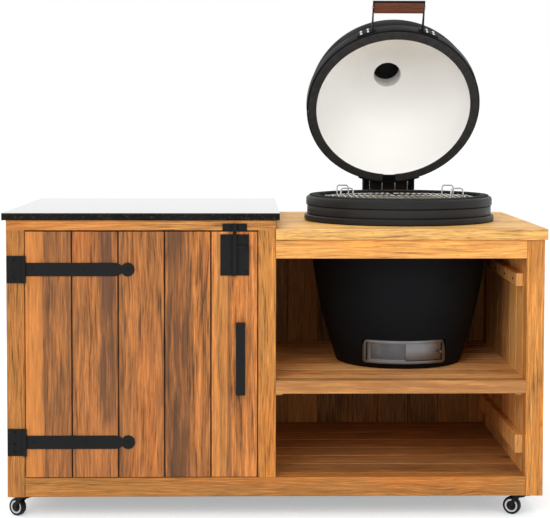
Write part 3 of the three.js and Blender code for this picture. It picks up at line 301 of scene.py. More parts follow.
@cache
def timber() -> bpy.types.NodeTree:
    """Boards side by side, each with its own figure, fibres, pores and knots.

    Place holds the place across the boards, through them and along their fibres.

    Returns:
        The group.
    """
    colours = {"Pale": (0.8, 0.5, 0.25, 1), "Middle": (0.6, 0.3, 0.12, 1), "Dark": (0.2, 0.1, 0.05, 1)}
    looks = {"Streaks": 1.0, "Stain": 0.3, "Knots": 0.5, "Spread": 0.3}
    group = Effect(
        "Timber",
        {"Start": 0.0, "Pitch": 0.1, "Seed": 0.0, **colours, **looks},
        {"Color": "Color", "Roughness": "Float", "Height": "Float"},
    )
    n, inputs = group.nodes, group.inputs
    across, through, along = n.split(inputs["Place"])
    board = n.math("FLOOR", n.math("DIVIDE", n.minus(across, inputs["Start"]), inputs["Pitch"]))
    draw = n.add("TexWhiteNoise", {"W": n.plus(board, inputs["Seed"])}, noise_dimensions="1D")
    tone, chance = draw.outputs["Value"], draw.outputs["Color"]
    shift = n.stretched(chance, 3.1, 5.3, 7.7)
    local = n.moved(inputs["Place"], shift)

    cell = n.add("TexVoronoi", {"Vector": n.stretched(local, 8, 0.5, 3.2), "Scale": 1.0, "Randomness": 1.0})
    distance = cell.outputs["Distance"]
    rare = n.math("LESS_THAN", n.split(cell.outputs["Color"])[0], n.times(inputs["Knots"], 0.5))
    knot = n.times(n.between(distance, 0.13, 0.02), rare)
    pull = n.times(n.times(n.between(distance, 0.5, 0.05), rare), 0.02)
    bent_across = n.plus(n.plus(across, n.swing(n.grain(local, WAVE), 0.035)), pull)
    fibred = n.moved(n.vector(bent_across, through, along), shift)

    fibres, growth, pores = n.grain(fibred, FIBRES), n.grain(fibred, GROWTH), n.mask(fibred, PORES)
    level = n.plus(0.52, n.swing(n.grain(fibred, FIGURE), n.times(inputs["Streaks"], 1.8)))
    level = n.plus(level, n.swing(growth, n.times(inputs["Streaks"], 1.8)))
    for value, strength in ((fibres, 1.3), (n.grain(local, BROAD), 0.5), (tone, inputs["Spread"])):
        level = n.plus(level, n.swing(value, strength))
    wood = n.mix(n.between(level, 0.0, 0.5), inputs["Dark"], inputs["Middle"])
    wood = n.mix(n.between(level, 0.45, 1.0), wood, inputs["Pale"])
    wood = n.mix(n.mask(local, WARMTH, end=0.35), wood, (1.0, 0.52, 0.25, 1), "SOFT_LIGHT")

    limit = n.minus(0.86, n.times(inputs["Stain"], 0.36))
    cloud = n.plus(n.grain(fibred, CLOUD), n.swing(tone, 0.12))
    stain = n.between(cloud, limit, n.plus(limit, 0.12), 0.0, 0.8)
    wood = n.mix(stain, wood, (0.16, 0.085, 0.045, 1), "MULTIPLY")
    lines = n.times(n.mask(fibred, DARK_LINES), n.times(inputs["Streaks"], 0.32))
    wood = n.mix(lines, wood, inputs["Dark"])
    wood = n.mix(n.times(n.math("MAXIMUM", pores, n.mask(local, SPECKS)), 0.4), wood, inputs["Dark"])
    wood = n.mix(n.times(knot, 0.85), wood, (0.05, 0.022, 0.01, 1))

    rough = n.plus(0.5, n.plus(n.swing(fibres, 0.25), n.times(pores, 0.1)))
    height = n.plus(n.times(fibres, 0.35), n.times(growth, 0.45))
    height = n.minus(height, n.plus(n.times(pores, 0.5), n.times(knot, 0.4)))
    return group.give(Color=wood, Roughness=rough, Height=height)


@cache
def streak_and_shade_band() -> bpy.types.NodeTree:
    """The mask of a band along the fibres, with ragged edges and faded ends: heartwood and other streaks,
    and also painted shade in the door's grooves and the darker edge of the shelf's painted-light top.

    Returns:
        The group.
    """
    sizes = {"Centre": 0.0, "Half width": 0.02, "Low": 0.0, "High": 1.0, "Edge": 0.01, "Ragged": 0.02}
    group = Effect("Streak and shade band", sizes, {"Mask": "Float"})
    n, inputs = group.nodes, group.inputs
    fade = 0.07
    across, _, along = n.split(inputs["Place"])
    ragged = n.minus(n.grain(inputs["Place"], RAGGED_EDGE), 0.5)
    wander = n.plus(ragged, n.swing(n.grain(inputs["Place"], FINE_EDGE), 0.5))
    off = n.math("ABSOLUTE", n.minus(across, inputs["Centre"]))
    off = n.plus(off, n.times(wander, inputs["Ragged"]))
    wide = n.plus(inputs["Half width"], inputs["Edge"])
    side = n.between(off, wide, n.minus(inputs["Half width"], inputs["Edge"]))
    drift = n.plus(along, n.times(ragged, 0.12))
    start = n.between(drift, inputs["Low"], n.plus(inputs["Low"], fade))
    end = n.between(drift, inputs["High"], n.minus(inputs["High"], fade))
    mottle = n.mask(inputs["Place"], MOTTLE, 0.45)
    return group.give(Mask=n.times(n.times(side, mottle), n.times(start, end)))


@cache
def pebbled() -> bpy.types.NodeTree:
    """A finely pebbled coat, such as a textured glaze or a powder coat.

    Returns:
        The group.
    """
    inputs = {"Scale": 400.0, "Patchiness": 0.3}
    group = Effect("Pebbled coat", inputs, {"Height": "Float", "Mask": "Float"})
    n, sockets = group.nodes, group.inputs
    place, scale = sockets["Place"], sockets["Scale"]
    cells = n.add("TexVoronoi", {"Vector": place, "Scale": scale}, feature="SMOOTH_F1")
    fine = n.noise(place, scale, 3)
    height = n.plus(n.times(cells.outputs["Distance"], 0.6), n.times(fine, 0.6))
    patches = n.times(n.noise(place, 9, 3), n.plus(1.0, sockets["Patchiness"]))
    return group.give(Height=height, Mask=n.between(patches, 0.35, 0.8))


@cache
def brushed() -> bpy.types.NodeTree:
    """Long fine scratches along the place's third number, and faint smudges.

    Returns:
        The group.
    """
    group = Effect("Brushed metal", {"Fineness": 900.0}, {"Height": "Float", "Smudge": "Float"})
    n, sockets = group.nodes, group.inputs
    scratched = n.stretched(sockets["Place"], 1, 1, 0.02)
    scratch = n.noise(scratched, sockets["Fineness"])
    return group.give(Height=scratch, Smudge=n.between(n.noise(sockets["Place"], 22, 3), 0.35, 0.75))


# Finishes


@dataclass(frozen=True)
class Finish:
    """A finish, with its material built at its first use."""

    name: str

    def material(self) -> bpy.types.Material:
        """The finish's material, built if it isn't there yet.

        Returns:
            The material.
        """
        title = self.name + "_finish"
        found = bpy.data.materials.get(title)
        if found is None:
            found = bpy.data.materials.new(title)
            found.use_nodes = True
            nodes = Nodes(found.node_tree)
            shader = found.node_tree.nodes["Principled BSDF"]
            place = nodes.add("TexCoord").outputs["Object"]
            self.paint(nodes, shader, place)
        return found

    def paint(self, n: Nodes, shader: bpy.types.Node, place: Socket) -> None:
        """Feeds the shader. Each finish has its own.

        Args:
            n: the material's nodes.
            shader: its Principled BSDF.
            place: object coordinates.
        """
        raise NotImplementedError

    def dress(self, piece: Object) -> None:
        """Gives a piece this finish alone."""
        piece.data.materials.clear()
        piece.data.materials.append(self.material())

    def cover(self, piece: Object, wanted: Callable[[Face], bool]) -> None:
        """Gives some of a dressed piece's faces this finish as their own.

        Args:
            piece: the piece.
            wanted: says whether a face gets it.
        """
        piece.data.materials.append(self.material())
        for face in piece.data.polygons:
            if wanted(face):
                face.material_index = len(piece.data.materials) - 1


def raised(n: Nodes, shader: bpy.types.Node, height: Socket, depth: float, strength: float) -> None:
    """Lets a height pattern bend the shader's normals.

    Args:
        n: the material's nodes.
        shader: its Principled BSDF.
        height: the pattern.
        depth: how deep it is, in metres.
        strength: how much of it shows.
    """
    inputs = {"Height": height, "Distance": depth, "Strength": strength}
    n.feed(shader.inputs["Normal"], n.add("Bump", inputs).outputs[0])


HEARTWOOD = colour(96, 68, 48)


@dataclass(frozen=True)
class Band:
    """A dark or pale band in a board: its place across and along the fibres and its edge, in metres."""

    centre: float
    half_width: float
    low: float
    high: float
    strength: float
    edge: float
    ragged: float
    tint: Tint = HEARTWOOD

    def mask(self, n: Nodes, local: Socket) -> Socket:
        """Where the band shows.

        Args:
            n: the material's nodes.
            local: the place across the boards, through them and along their fibres.

        Returns:
            Its mask.
        """
        sizes = {
            "Place": local,
            "Centre": self.centre,
            "Half width": self.half_width,
            "Low": self.low,
            "High": self.high,
            "Edge": self.edge,
            "Ragged": self.ragged,
        }
        return n.add("Group", sizes, node_tree=streak_and_shade_band()).outputs["Mask"]


@dataclass(frozen=True)
class Teak(Finish):
    """Oiled teak boards. Start is the edge of the first one and pitch their width, in metres."""

    grain: Grain = Grain.UPRIGHT
    start: float = 0.0
    pitch: float = 10.0
    seed: float = 0.0
    mean: Shade = (200, 140, 80)
    pale_share: float = 1.27
    dark_share: float = 0.5
    streaks: float = 0.5
    stain: float = 0.15
    knots: float = 0.4
    spread: float = 0.25
    bands: tuple[Band, ...] = ()

    def shade(self, share: float) -> Tint:
        """The mean colour, lighter or darker by a share."""
        return colour(*(min(255, round(value * share)) for value in self.mean))

    def paint(self, n: Nodes, shader: bpy.types.Node, place: Socket) -> None:
        """Feeds the shader with boards and their dark bands.

        Args:
            n: the material's nodes.
            shader: its Principled BSDF.
            place: object coordinates.
        """
        numbers = dict(zip("XYZ", n.split(place)))
        fibres, across, through = self.grain.value
        local = n.vector(numbers[across], numbers[through], numbers[fibres])
        labels = ("Start", "Pitch", "Seed", "Streaks", "Stain", "Knots", "Spread")
        looks = {label: getattr(self, label.lower()) for label in labels}
        shares = {"Pale": self.pale_share, "Middle": 1.0, "Dark": self.dark_share}
        tints = {label: self.shade(share) for label, share in shares.items()}
        wood = n.add("Group", {"Place": local, **looks, **tints}, node_tree=timber())
        tint = wood.outputs["Color"]
        for band in self.bands:
            share = n.times(band.mask(n, local), band.strength)
            tint = n.mix(share, tint, n.mix(0.15, band.tint, tint))
        n.feed(shader.inputs["Base Color"], tint)
        n.feed(shader.inputs["Roughness"], wood.outputs["Roughness"])
        shader.inputs["Specular IOR Level"].default_value = 0.2
        raised(n, shader, wood.outputs["Height"], 0.0006, 0.7)


@dataclass(frozen=True)
class PolishedStone(Finish):
    """Black stone with fine grey and brown grains, polished on top and honed on its edges."""

    def paint(self, n: Nodes, shader: bpy.types.Node, place: Socket) -> None:
        """Feeds the shader with grains under a polish.

        Args:
            n: the material's nodes.
            shader: its Principled BSDF.
            place: object coordinates.
        """
        grains = n.add("TexVoronoi", {"Vector": place, "Scale": 420.0}).outputs["Color"]
        bright = n.between(n.split(grains)[0], 0.86, 0.99)
        clouds = n.between(n.noise(place, 12, 4), 0.4, 0.7)
        base = n.mix(clouds, colour(17, 16, 15), colour(27, 25, 22))
        n.feed(shader.inputs["Base Color"], n.mix(n.times(bright, 0.5), base, colour(84, 78, 70)))
        top = n.between(n.split(n.add("TexCoord").outputs["Normal"])[2], 0.3, 0.8)
        gloss = n.between(n.noise(place, 35, 3), 0.3, 0.8, 0.05, 0.14)
        n.feed(shader.inputs["Roughness"], n.plus(gloss, n.between(top, 0.0, 1.0, 0.3, 0.0)))
        n.feed(shader.inputs["Coat Weight"], top)
        shader.inputs["Specular IOR Level"].default_value = 0.07
        shader.inputs["Coat Roughness"].default_value = 0.04


@dataclass(frozen=True)
class Coated(Finish):
    """A coat with fine pebbles: powder-coated steel, textured ceramic or rubber."""

    tint: Tint = colour(30, 30, 30)
    worn: Tint = colour(48, 48, 48)
    roughness: float = 0.5
    pebbles: float = 900.0
    depth: float = 0.0002
    gloss: float = 0.5

    def paint(self, n: Nodes, shader: bpy.types.Node, place: Socket) -> None:
        """Feeds the shader with a coat whose tone and gloss drift a little.

        Args:
            n: the material's nodes.
            shader: its Principled BSDF.
            place: object coordinates.
        """
        coat = n.add("Group", {"Place": place, "Scale": self.pebbles}, node_tree=pebbled())
        mask = coat.outputs["Mask"]
        n.feed(shader.inputs["Base Color"], n.mix(n.times(mask, 0.5), self.tint, self.worn))
        rough = n.between(mask, 0.0, 1.0, self.roughness - 0.05, self.roughness + 0.07)
        n.feed(shader.inputs["Roughness"], rough)
        shader.inputs["Specular IOR Level"].default_value = self.gloss
        raised(n, shader, coat.outputs["Height"], self.depth, 0.6)


@dataclass(frozen=True)
class Steel(Finish):
    """Bare stainless steel, satin or bright, with fine scratches along one axis."""

    tint: Tint = colour(196, 194, 190)
    roughness: float = 0.3
    along: str = "X"

    def paint(self, n: Nodes, shader: bpy.types.Node, place: Socket) -> None:
        """Feeds the shader with scratches and smudges.

        Args:
            n: the material's nodes.
            shader: its Principled BSDF.
            place: object coordinates.
        """
        numbers = dict(zip("XYZ", n.split(place)))
        others = [numbers[axis] for axis in "XYZ" if axis != self.along]
        local = n.vector(*others, numbers[self.along])
        metal = n.add("Group", {"Place": local}, node_tree=brushed())
        smudge = metal.outputs["Smudge"]
        n.feed(shader.inputs["Base Color"], n.mix(n.times(smudge, 0.25), self.tint, colour(140, 136, 130)))
        n.feed(shader.inputs["Roughness"], n.between(smudge, 0, 1, self.roughness, self.roughness + 0.12))
        shader.inputs["Metallic"].default_value = 1.0
        raised(n, shader, metal.outputs["Height"], 0.00005, 0.4)


@dataclass(frozen=True)
class InnerGlaze(Finish):
    """White glaze that goes tan towards one height."""

    low: float = 1.26
    high: float = 1.46

    def paint(self, n: Nodes, shader: bpy.types.Node, place: Socket) -> None:
        """Feeds the shader with the glaze, its tan towards one height and its specks.

        Args:
            n: the material's nodes.
            shader: its Principled BSDF.
            place: object coordinates.
        """
        drift = n.times(n.minus(n.noise(place, 7, 3), 0.5), 0.05)
        height = n.plus(n.split(place)[2], drift)
        # The glaze turns tan from the low height to the high one.
        tan_share = n.between(height, self.low, self.high, 0.0, 1.0)
        glaze = n.mix(tan_share, colour(252, 251, 248), colour(240, 230, 214))
        specks = n.between(n.noise(place, 260, 2), 0.7, 0.78, 0.0, 0.25)
        n.feed(shader.inputs["Base Color"], n.mix(specks, glaze, colour(150, 132, 116)))
        n.feed(shader.inputs["Roughness"], n.between(n.noise(place, 18, 2), 0.2, 0.8, 0.28, 0.42))
        shader.inputs["Coat Weight"].default_value = 0.25
        shader.inputs["Coat Roughness"].default_value = 0.2
        raised(n, shader, n.noise(place, 60, 3), 0.0012, 0.35)


@dataclass(frozen=True)
class Felt(Finish):
    """Grey felt with matted fibres."""

    tint: Tint = colour(62, 61, 60)

    def paint(self, n: Nodes, shader: bpy.types.Node, place: Socket) -> None:
        """Feeds the shader with fibres.

        Args:
            n: the material's nodes.
            shader: its Principled BSDF.
            place: object coordinates.
        """
        tufts = n.noise(place, 700, 4, 0.7)
        tone = n.between(n.plus(tufts, n.times(n.noise(place, 60, 2), 0.5)), 0.4, 1.1)
        n.feed(shader.inputs["Base Color"], n.mix(tone, colour(38, 37, 36), self.tint))
        shader.inputs["Roughness"].default_value = 0.95
        shader.inputs["Specular IOR Level"].default_value = 0.1
        raised(n, shader, tufts, 0.0009, 0.9)


@dataclass(frozen=True)
class FireClay(Finish):
    """Bare fire clay with ash and grit."""

    def paint(self, n: Nodes, shader: bpy.types.Node, place: Socket) -> None:
        """Feeds the shader with grit under ash.

        Args:
            n: the material's nodes.
            shader: its Principled BSDF.
            place: object coordinates.
        """
        grit = n.noise(place, 320, 4, 0.6)
        ash = n.between(n.noise(place, 14, 4), 0.35, 0.7)
        body = n.mix(n.between(grit, 0.35, 0.75), colour(156, 140, 116), colour(198, 184, 160))
        n.feed(shader.inputs["Base Color"], n.mix(n.times(ash, 0.5), body, colour(112, 106, 100)))
        shader.inputs["Roughness"].default_value = 0.9
        raised(n, shader, grit, 0.0012, 0.7)


# Finishes by name

BLACK_CERAMIC = Coated("black_ceramic", colour(16, 17, 19), colour(21, 22, 24), 0.55, 620.0, 0.0004,
                       gloss=0.05)
LIP = Coated("ceramic_lip", colour(30, 30, 31), colour(40, 40, 41), 0.42, 900.0, 0.0002, gloss=0.2)
HOOP = Coated("hoop_steel", colour(36, 36, 37), colour(46, 46, 47), 0.4, 1200.0, 0.0001, gloss=0.2)
BLACK_STEEL = Coated("black_steel", colour(17, 17, 18), colour(26, 26, 27), 0.45, 1100.0, 0.00015,
                     gloss=0.15)
CAST_IRON = Coated("cast_iron", colour(18, 18, 18), colour(28, 28, 27), 0.65, 700.0, 0.0006, gloss=0.1)
RUBBER = Coated("tyre_rubber", colour(14, 14, 15), colour(22, 22, 23), 0.55, 500.0, 0.0002, gloss=0.2)
STAINLESS = Steel("stainless")
VENT_STEEL = Steel("vent_steel", colour(124, 124, 126), 0.34)
BRIGHT_STEEL = Steel("bright_steel", colour(226, 225, 222), 0.16, "Y")
CHROME = Steel("chrome", colour(186, 186, 188), 0.2, "Z")
FELT = Felt("felt")
GLAZE = InnerGlaze("inner_glaze")
CLAY = FireClay("fire_clay")
STONE = PolishedStone("granite")


# Modelling

MERGE_DISTANCE = 2e-6


def linked(name: str, data: bpy.types.ID) -> Object:
    """A new object in the scene.

    Args:
        name: its name.
        data: its mesh, curve, light or camera.

    Returns:
        The object.
    """
    piece = bpy.data.objects.new(name, data)
    bpy.context.scene.collection.objects.link(piece)
    return piece


def chosen(*pieces: Object) -> None:
    """Selects these pieces alone, the first one active.

    Args:
        pieces: the pieces.
    """
    bpy.ops.object.select_all(action="DESELECT")
    for piece in pieces:
        piece.select_set(True)
    bpy.context.view_layer.objects.active = pieces[0]


@contextmanager
def modelled(name: str) -> Iterator[Object]:
    """A new mesh object, open in edit mode until the block ends.

    Args:
        name: the piece's name.

    Yields:
        The object. Its doubles are merged and its normals turned out at the end.
    """
    piece = linked(name, bpy.data.meshes.new(name))
    chosen(piece)
    bpy.ops.object.mode_set(mode="EDIT")
    bpy.ops.mesh.select_mode(type="VERT")
    yield piece
    bpy.ops.mesh.select_all(action="SELECT")
    bpy.ops.mesh.remove_doubles(threshold=MERGE_DISTANCE)
    bpy.ops.mesh.normals_make_consistent(inside=False)
    bpy.ops.object.mode_set(mode="OBJECT")


def drawn(points: Sequence[Point], closed: bool = True) -> None:
    """Draws a line of edges in the mesh that is open, and leaves it selected.

    Args:
        points: its corners.
        closed: whether it ends where it starts.
    """
    bpy.ops.mesh.select_all(action="DESELECT")
    bpy.ops.mesh.primitive_plane_add(size=0.001, location=points[0])
    bpy.ops.mesh.merge(type="CENTER")
    route = list(points) + ([points[0]] if closed else [])
    for start, end in zip(route, route[1:]):
        step = Vector(end) - Vector(start)
        bpy.ops.mesh.extrude_region_move(TRANSFORM_OT_translate={"value": step})
    bpy.ops.mesh.select_linked()
    bpy.ops.mesh.remove_doubles(threshold=MERGE_DISTANCE)


def spun(steps: int, sweep: float) -> None:
    """Turns what is selected about Z, by degrees. The operator itself turns the other way."""
    bpy.ops.mesh.spin(steps=steps, angle=-math.radians(sweep), center=(0, 0, 0), axis=(0, 0, 1))


def rounded(corners: Sequence[Point], steps: int = 4) -> list[Pair]:
    """A closed outline in which each corner (u, v, ease) is eased by a curve.

    Args:
        corners: the corners and how far from each its curve starts.
        steps: parts of a curve.

    Returns:
        The outline's points.
    """
    points: list[Pair] = []
    for i, (u, v, ease) in enumerate(corners):
        if ease <= 0:
            points.append((u, v))
            continue
        here = Vector((u, v))
        ends = []
        for other in (corners[i - 1], corners[(i + 1) % len(corners)]):
            way = Vector(other[:2]) - here
            ends.append(here + way.normalized() * min(ease, way.length * 0.49))
        for step in range(steps + 1):
            t = step / steps
            spot = ends[0] * (1 - t) ** 2 + here * 2 * t * (1 - t) + ends[1] * t * t
            points.append((spot.x, spot.y))
    return points


def rectangle(us: Pair, vs: Pair, eases: Sequence[float] = (0, 0, 0, 0), steps: int = 4) -> list[Pair]:
    """A rectangle's outline, from its low corner on towards high u.

    Args:
        us: its bounds along u.
        vs: its bounds along v.
        eases: how far each corner is eased.
        steps: parts of a corner's curve.

    Returns:
        The outline's points.
    """
    (left, right), (low, high) = us, vs
    corners = ((left, low), (right, low), (right, high), (left, high))
    return rounded([(*corner, ease) for corner, ease in zip(corners, eases)], steps)


def arc(radius: float, first: float, last: float, steps: int, centre: Pair = (0.0, 0.0)) -> list[Pair]:
    """Points along an arc.

    Args:
        radius: of the arc.
        first: the angle of its first point, in degrees.
        last: the angle of its last point.
        steps: parts between the points.
        centre: its centre.

    Returns:
        The points.
    """
    angles = [math.radians(first + (last - first) * i / steps) for i in range(steps + 1)]
    return [(centre[0] + radius * math.cos(a), centre[1] + radius * math.sin(a)) for a in angles]


def mm(points: Sequence[Point]) -> list[tuple[float, ...]]:
    """Points in millimetres as points in metres."""
    return [tuple(value * MM for value in point) for point in points]


def turned(name: str, outline: Sequence[Pair], steps: int, start: float = 0.0,
           sweep: float = 360.0) -> Object:
    """A piece turned about Z from a closed outline of (radius, height).

    Args:
        name: the piece's name.
        outline: its section.
        steps: facets round it.
        start: the angle where it starts, in degrees from -Y towards +X.
        sweep: how far round it goes.

    Returns:
        The piece.
    """
    first = math.radians(start - 90)
    with modelled(name) as piece:
        drawn([(r * math.cos(first), r * math.sin(first), z) for r, z in outline])
        if sweep < 360:
            bpy.ops.mesh.edge_face_add()
        spun(steps, sweep)
    return piece


def plate(name: str, outline: Sequence[Point], depth: Point) -> Object:
    """A flat plate: an outline in space, made solid along a vector.

    Args:
        name: the piece's name.
        outline: its corners.
        depth: the vector from this face to the other.

    Returns:
        The piece.
    """
    with modelled(name) as piece:
        drawn(outline)
        bpy.ops.mesh.edge_face_add()
        bpy.ops.mesh.extrude_region_move(TRANSFORM_OT_translate={"value": Vector(depth)})
    return piece


def across(name: str, outline: Sequence[Pair], low: float, high: float) -> Object:
    """A plate across X, in millimetres, from an outline of (y, z)."""
    return plate(name, mm([(low, y, z) for y, z in outline]), ((high - low) * MM, 0, 0))


def beside(name: str, outline: Sequence[Pair], side: int, near: float, far: float) -> Object:
    """A plate across X on one side of the middle, in millimetres."""
    return across(name, outline, *sorted((side * near, side * far)))


def rod(name: str, radius: float, low: float, high: float, centre: Pair) -> Object:
    """A round rod along X, in millimetres, its centre at (y, z)."""
    return across(name, arc(radius, 0, 360, 20, centre)[:-1], low, high)


def bent(name: str, radii: Pair, heights: Pair, half: float, middle: float = 0.0,
         steps: int = 24) -> Object:
    """A plate bent about Z, in millimetres and degrees.

    Args:
        name: the piece's name.
        radii: its inner and outer radius.
        heights: its lower and upper edge.
        half: half of its angle.
        middle: the angle of its middle from -Y towards +X.
        steps: facets along it.

    Returns:
        The piece.
    """
    return turned(name, mm(rectangle(radii, heights)), steps, middle - half, 2 * half)


def window(half: float, heights: Pair, front: float, back: float, ease: float = 0.0) -> Object:
    """A tool that cuts through the front of something about Z, in millimetres.

    Args:
        half: half of its width.
        heights: its bottom and top.
        front: how far in front of the axis it starts.
        back: how far in front of the axis it ends.
        ease: how far its corners are eased.

    Returns:
        The tool.
    """
    face = rectangle((-half, half), heights, (ease,) * 4)
    return plate("window", mm([(x, -front, z) for x, z in face]), (0, (front - back) * MM, 0))


def pipe(name: str, lines: Sequence[Sequence[Point]], radius: float, sides: int = 10,
         closed: bool = False) -> Object:
    """Round wires along lines of points, in one piece.

    Args:
        name: the piece's name.
        lines: each wire's points.
        radius: of the wires.
        sides: facets round a wire.
        closed: whether each wire ends where it starts.

    Returns:
        The piece.
    """
    curve = bpy.data.curves.new(name, "CURVE")
    curve.dimensions = "3D"
    curve.bevel_depth = radius
    curve.bevel_resolution = sides // 2 - 2
    curve.use_fill_caps = not closed
    for line in lines:
        spline = curve.splines.new("POLY")
        spline.points.add(len(line) - 1)
        for spot, place in zip(spline.points, line):
            spot.co = (*place, 1.0)
        spline.use_cyclic_u = closed
    chosen(linked(name, curve))
    bpy.ops.object.convert(target="MESH")
    return smooth(bpy.context.object, 40)


def smooth(piece: Object, angle: float) -> Object:
    """Shades a piece smooth.

    Args:
        piece: the piece.
        angle: edges sharper than this stay sharp, in degrees.

    Returns:
        The piece.
    """
    chosen(piece)
    bpy.ops.object.shade_smooth_by_angle(angle=math.radians(angle))
    return piece


def applied(piece: Object, kind: str, **settings: object) -> Object:
    """Changes a piece by a modifier.

    Args:
        piece: the piece.
        kind: the modifier's type.
        settings: its properties.

    Returns:
        The piece.
    """
    chosen(piece)
    modifier = piece.modifiers.new(kind.lower(), kind)
    for key, value in settings.items():
        setattr(modifier, key, value)
    bpy.ops.object.modifier_apply(modifier=modifier.name)
    return piece


def eased(piece: Object, width: float = 0.0006, segments: int = 2, angle: float = 50.0) -> Object:
    """Rounds a piece's sharp edges.

    Args:
        piece: the piece.
        width: how wide the rounding is.
        segments: facets across it.
        angle: edges sharper than this are rounded, in degrees.

    Returns:
        The piece.
    """
    limit = {"limit_method": "ANGLE", "angle_limit": math.radians(angle)}
    return applied(piece, "BEVEL", width=width, segments=segments, **limit, miter_outer="MITER_ARC")


def carved(piece: Object, tool: Object, operation: str = "DIFFERENCE") -> Object:
    """Cuts a piece by a tool, or keeps what they share, and removes the tool.

    Args:
        piece: the piece.
        tool: the solid that cuts it.
        operation: DIFFERENCE or INTERSECT.

    Returns:
        The piece.
    """
    applied(piece, "BOOLEAN", operation=operation, solver="EXACT", object=tool)
    bpy.data.objects.remove(tool, do_unlink=True)
    return piece


def joined(name: str, *pieces: Object) -> Object:
    """Several pieces as one object.

    Args:
        name: the object's name.
        pieces: the pieces.

    Returns:
        The object.
    """
    chosen(*pieces)
    bpy.ops.object.join()
    pieces[0].name = name
    return pieces[0]


def placed(piece: Object, matrix: Matrix) -> Object:
    """Moves a piece, with its place kept in its mesh.

    Args:
        piece: the piece.
        matrix: the move.

    Returns:
        The piece.
    """
    chosen(piece)
    piece.matrix_world = matrix @ piece.matrix_world
    bpy.ops.object.transform_apply(location=True, rotation=True, scale=True)
    return piece


def facing(direction: Point, at: Point) -> Matrix:
    """The place of something made about Z that is to point along a direction."""
    return Matrix.Translation(Vector(at)) @ Vector(direction).to_track_quat("Z", "Y").to_matrix().to_4x4()


def domed_head(radius: float, rise: float, steps: int = 16) -> Object:
    """A low round bolt head about Z, its foot at the origin.

    Args:
        radius: its radius.
        rise: its height.
        steps: facets round it.

    Returns:
        The head.
    """
    dome = [(radius * u, rise * v) for u, v in arc(1, 0, 90, 5)]
    return turned("head", [(0.0, -0.001), (radius, -0.001), *dome], steps)


def finished(piece: Object, body: str, finish: Finish | None = None,
             replaces: Sequence[str] = (), angle: float = 32.0) -> None:
    """Shades and dresses a piece, ties it to its body and reports it.

    Args:
        piece: the piece.
        body: the body that it rides on.
        finish: its finish, unless it has its materials.
        replaces: the solids that it stands for.
        angle: edges sharper than this stay sharp, in degrees.
    """
    smooth(piece, angle)
    if finish:
        finish.dress(piece)
    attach(piece, body)
    if replaces:
        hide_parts(*replaces)
    LOG.info("%s made, on %s", piece.name, body)


# The kamado


@dataclass(frozen=True)
class Kamado:
    """Sizes of the kamado in millimetres: heights above its foot, radii about its axis, lid closed.

    The pin is the hinge's, at (y, z).
    """

    bowl_height: float = 426.0
    bowl_radius: float = 268.0
    bowl_taper: float = 80.0
    bowl_curve: float = 1.85
    wall: float = 28.0
    floor: float = 30.0
    flange: float = 286.5
    flange_top: float = 445.0
    neck: float = 275.0
    neck_top: float = 473.0
    lip: float = 281.0
    lip_top: float = 500.0
    mouth: float = 242.5
    rim: float = 504.0
    lid_rim: float = 508.5
    lid_radius: float = 269.0
    lid_height: float = 254.0
    lid_wall: float = 23.0
    dome_power: float = 2.5
    dome_steps: int = 44
    neck_bore: float = 44.0
    chimney: float = 58.0
    chimney_height: float = 32.0
    pin: Pair = (305.0, 490.0)
    knuckle: float = 13.0
    open_angle: float = 60.5
    vent_radius: float = 207.0
    vent_depth: float = 10.5
    vent_heights: Pair = (18.0, 86.0)
    vent_chord: float = 242.0
    vent_corner: float = 10.0
    steps: int = 144

    def outer(self, z: float) -> float:
        """The bowl's outer radius at a height."""
        return self.bowl_radius - self.bowl_taper * (1 - z / self.bowl_height) ** self.bowl_curve

    def dome(self, radius: float, height: float, bore: float) -> list[Pair]:
        """Half of a dome's section.

        Args:
            radius: at the lid's rim.
            height: above it.
            bore: the radius where it ends.

        Returns:
            The points from the rim up to the bore.
        """
        power = self.dome_power
        last = height * (1 - (bore / radius) ** power) ** (1 / power)
        points = []
        for i in range(self.dome_steps + 1):
            s = last * math.sin(math.pi / 2 * i / self.dome_steps)
            reach = radius * (1 - (s / height) ** power) ** (1 / power)
            points.append((max(reach, bore), self.lid_rim + s))
        return points

    @property
    def vent_angle(self) -> float:
        """Half of the draft vent's angle, in degrees."""
        return math.degrees(math.asin(self.vent_chord / 2 / self.vent_radius))

    def stand(self) -> Matrix:
        """Where the kamado stands."""
        low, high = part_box("base_shell")
        return Matrix.Translation(((low.x + high.x) / 2, (low.y + high.y) / 2, low.z))

    def lid(self) -> Matrix:
        """Where the open lid's pieces stand, which are made with the lid closed.

        Returns:
            Their place.
        """
        hinge = Vector((0, *self.pin)) * MM
        turn = Matrix.Rotation(math.radians(-self.open_angle), 4, "X")
        return self.stand() @ Matrix.Translation(hinge) @ turn @ Matrix.Translation(-hinge)


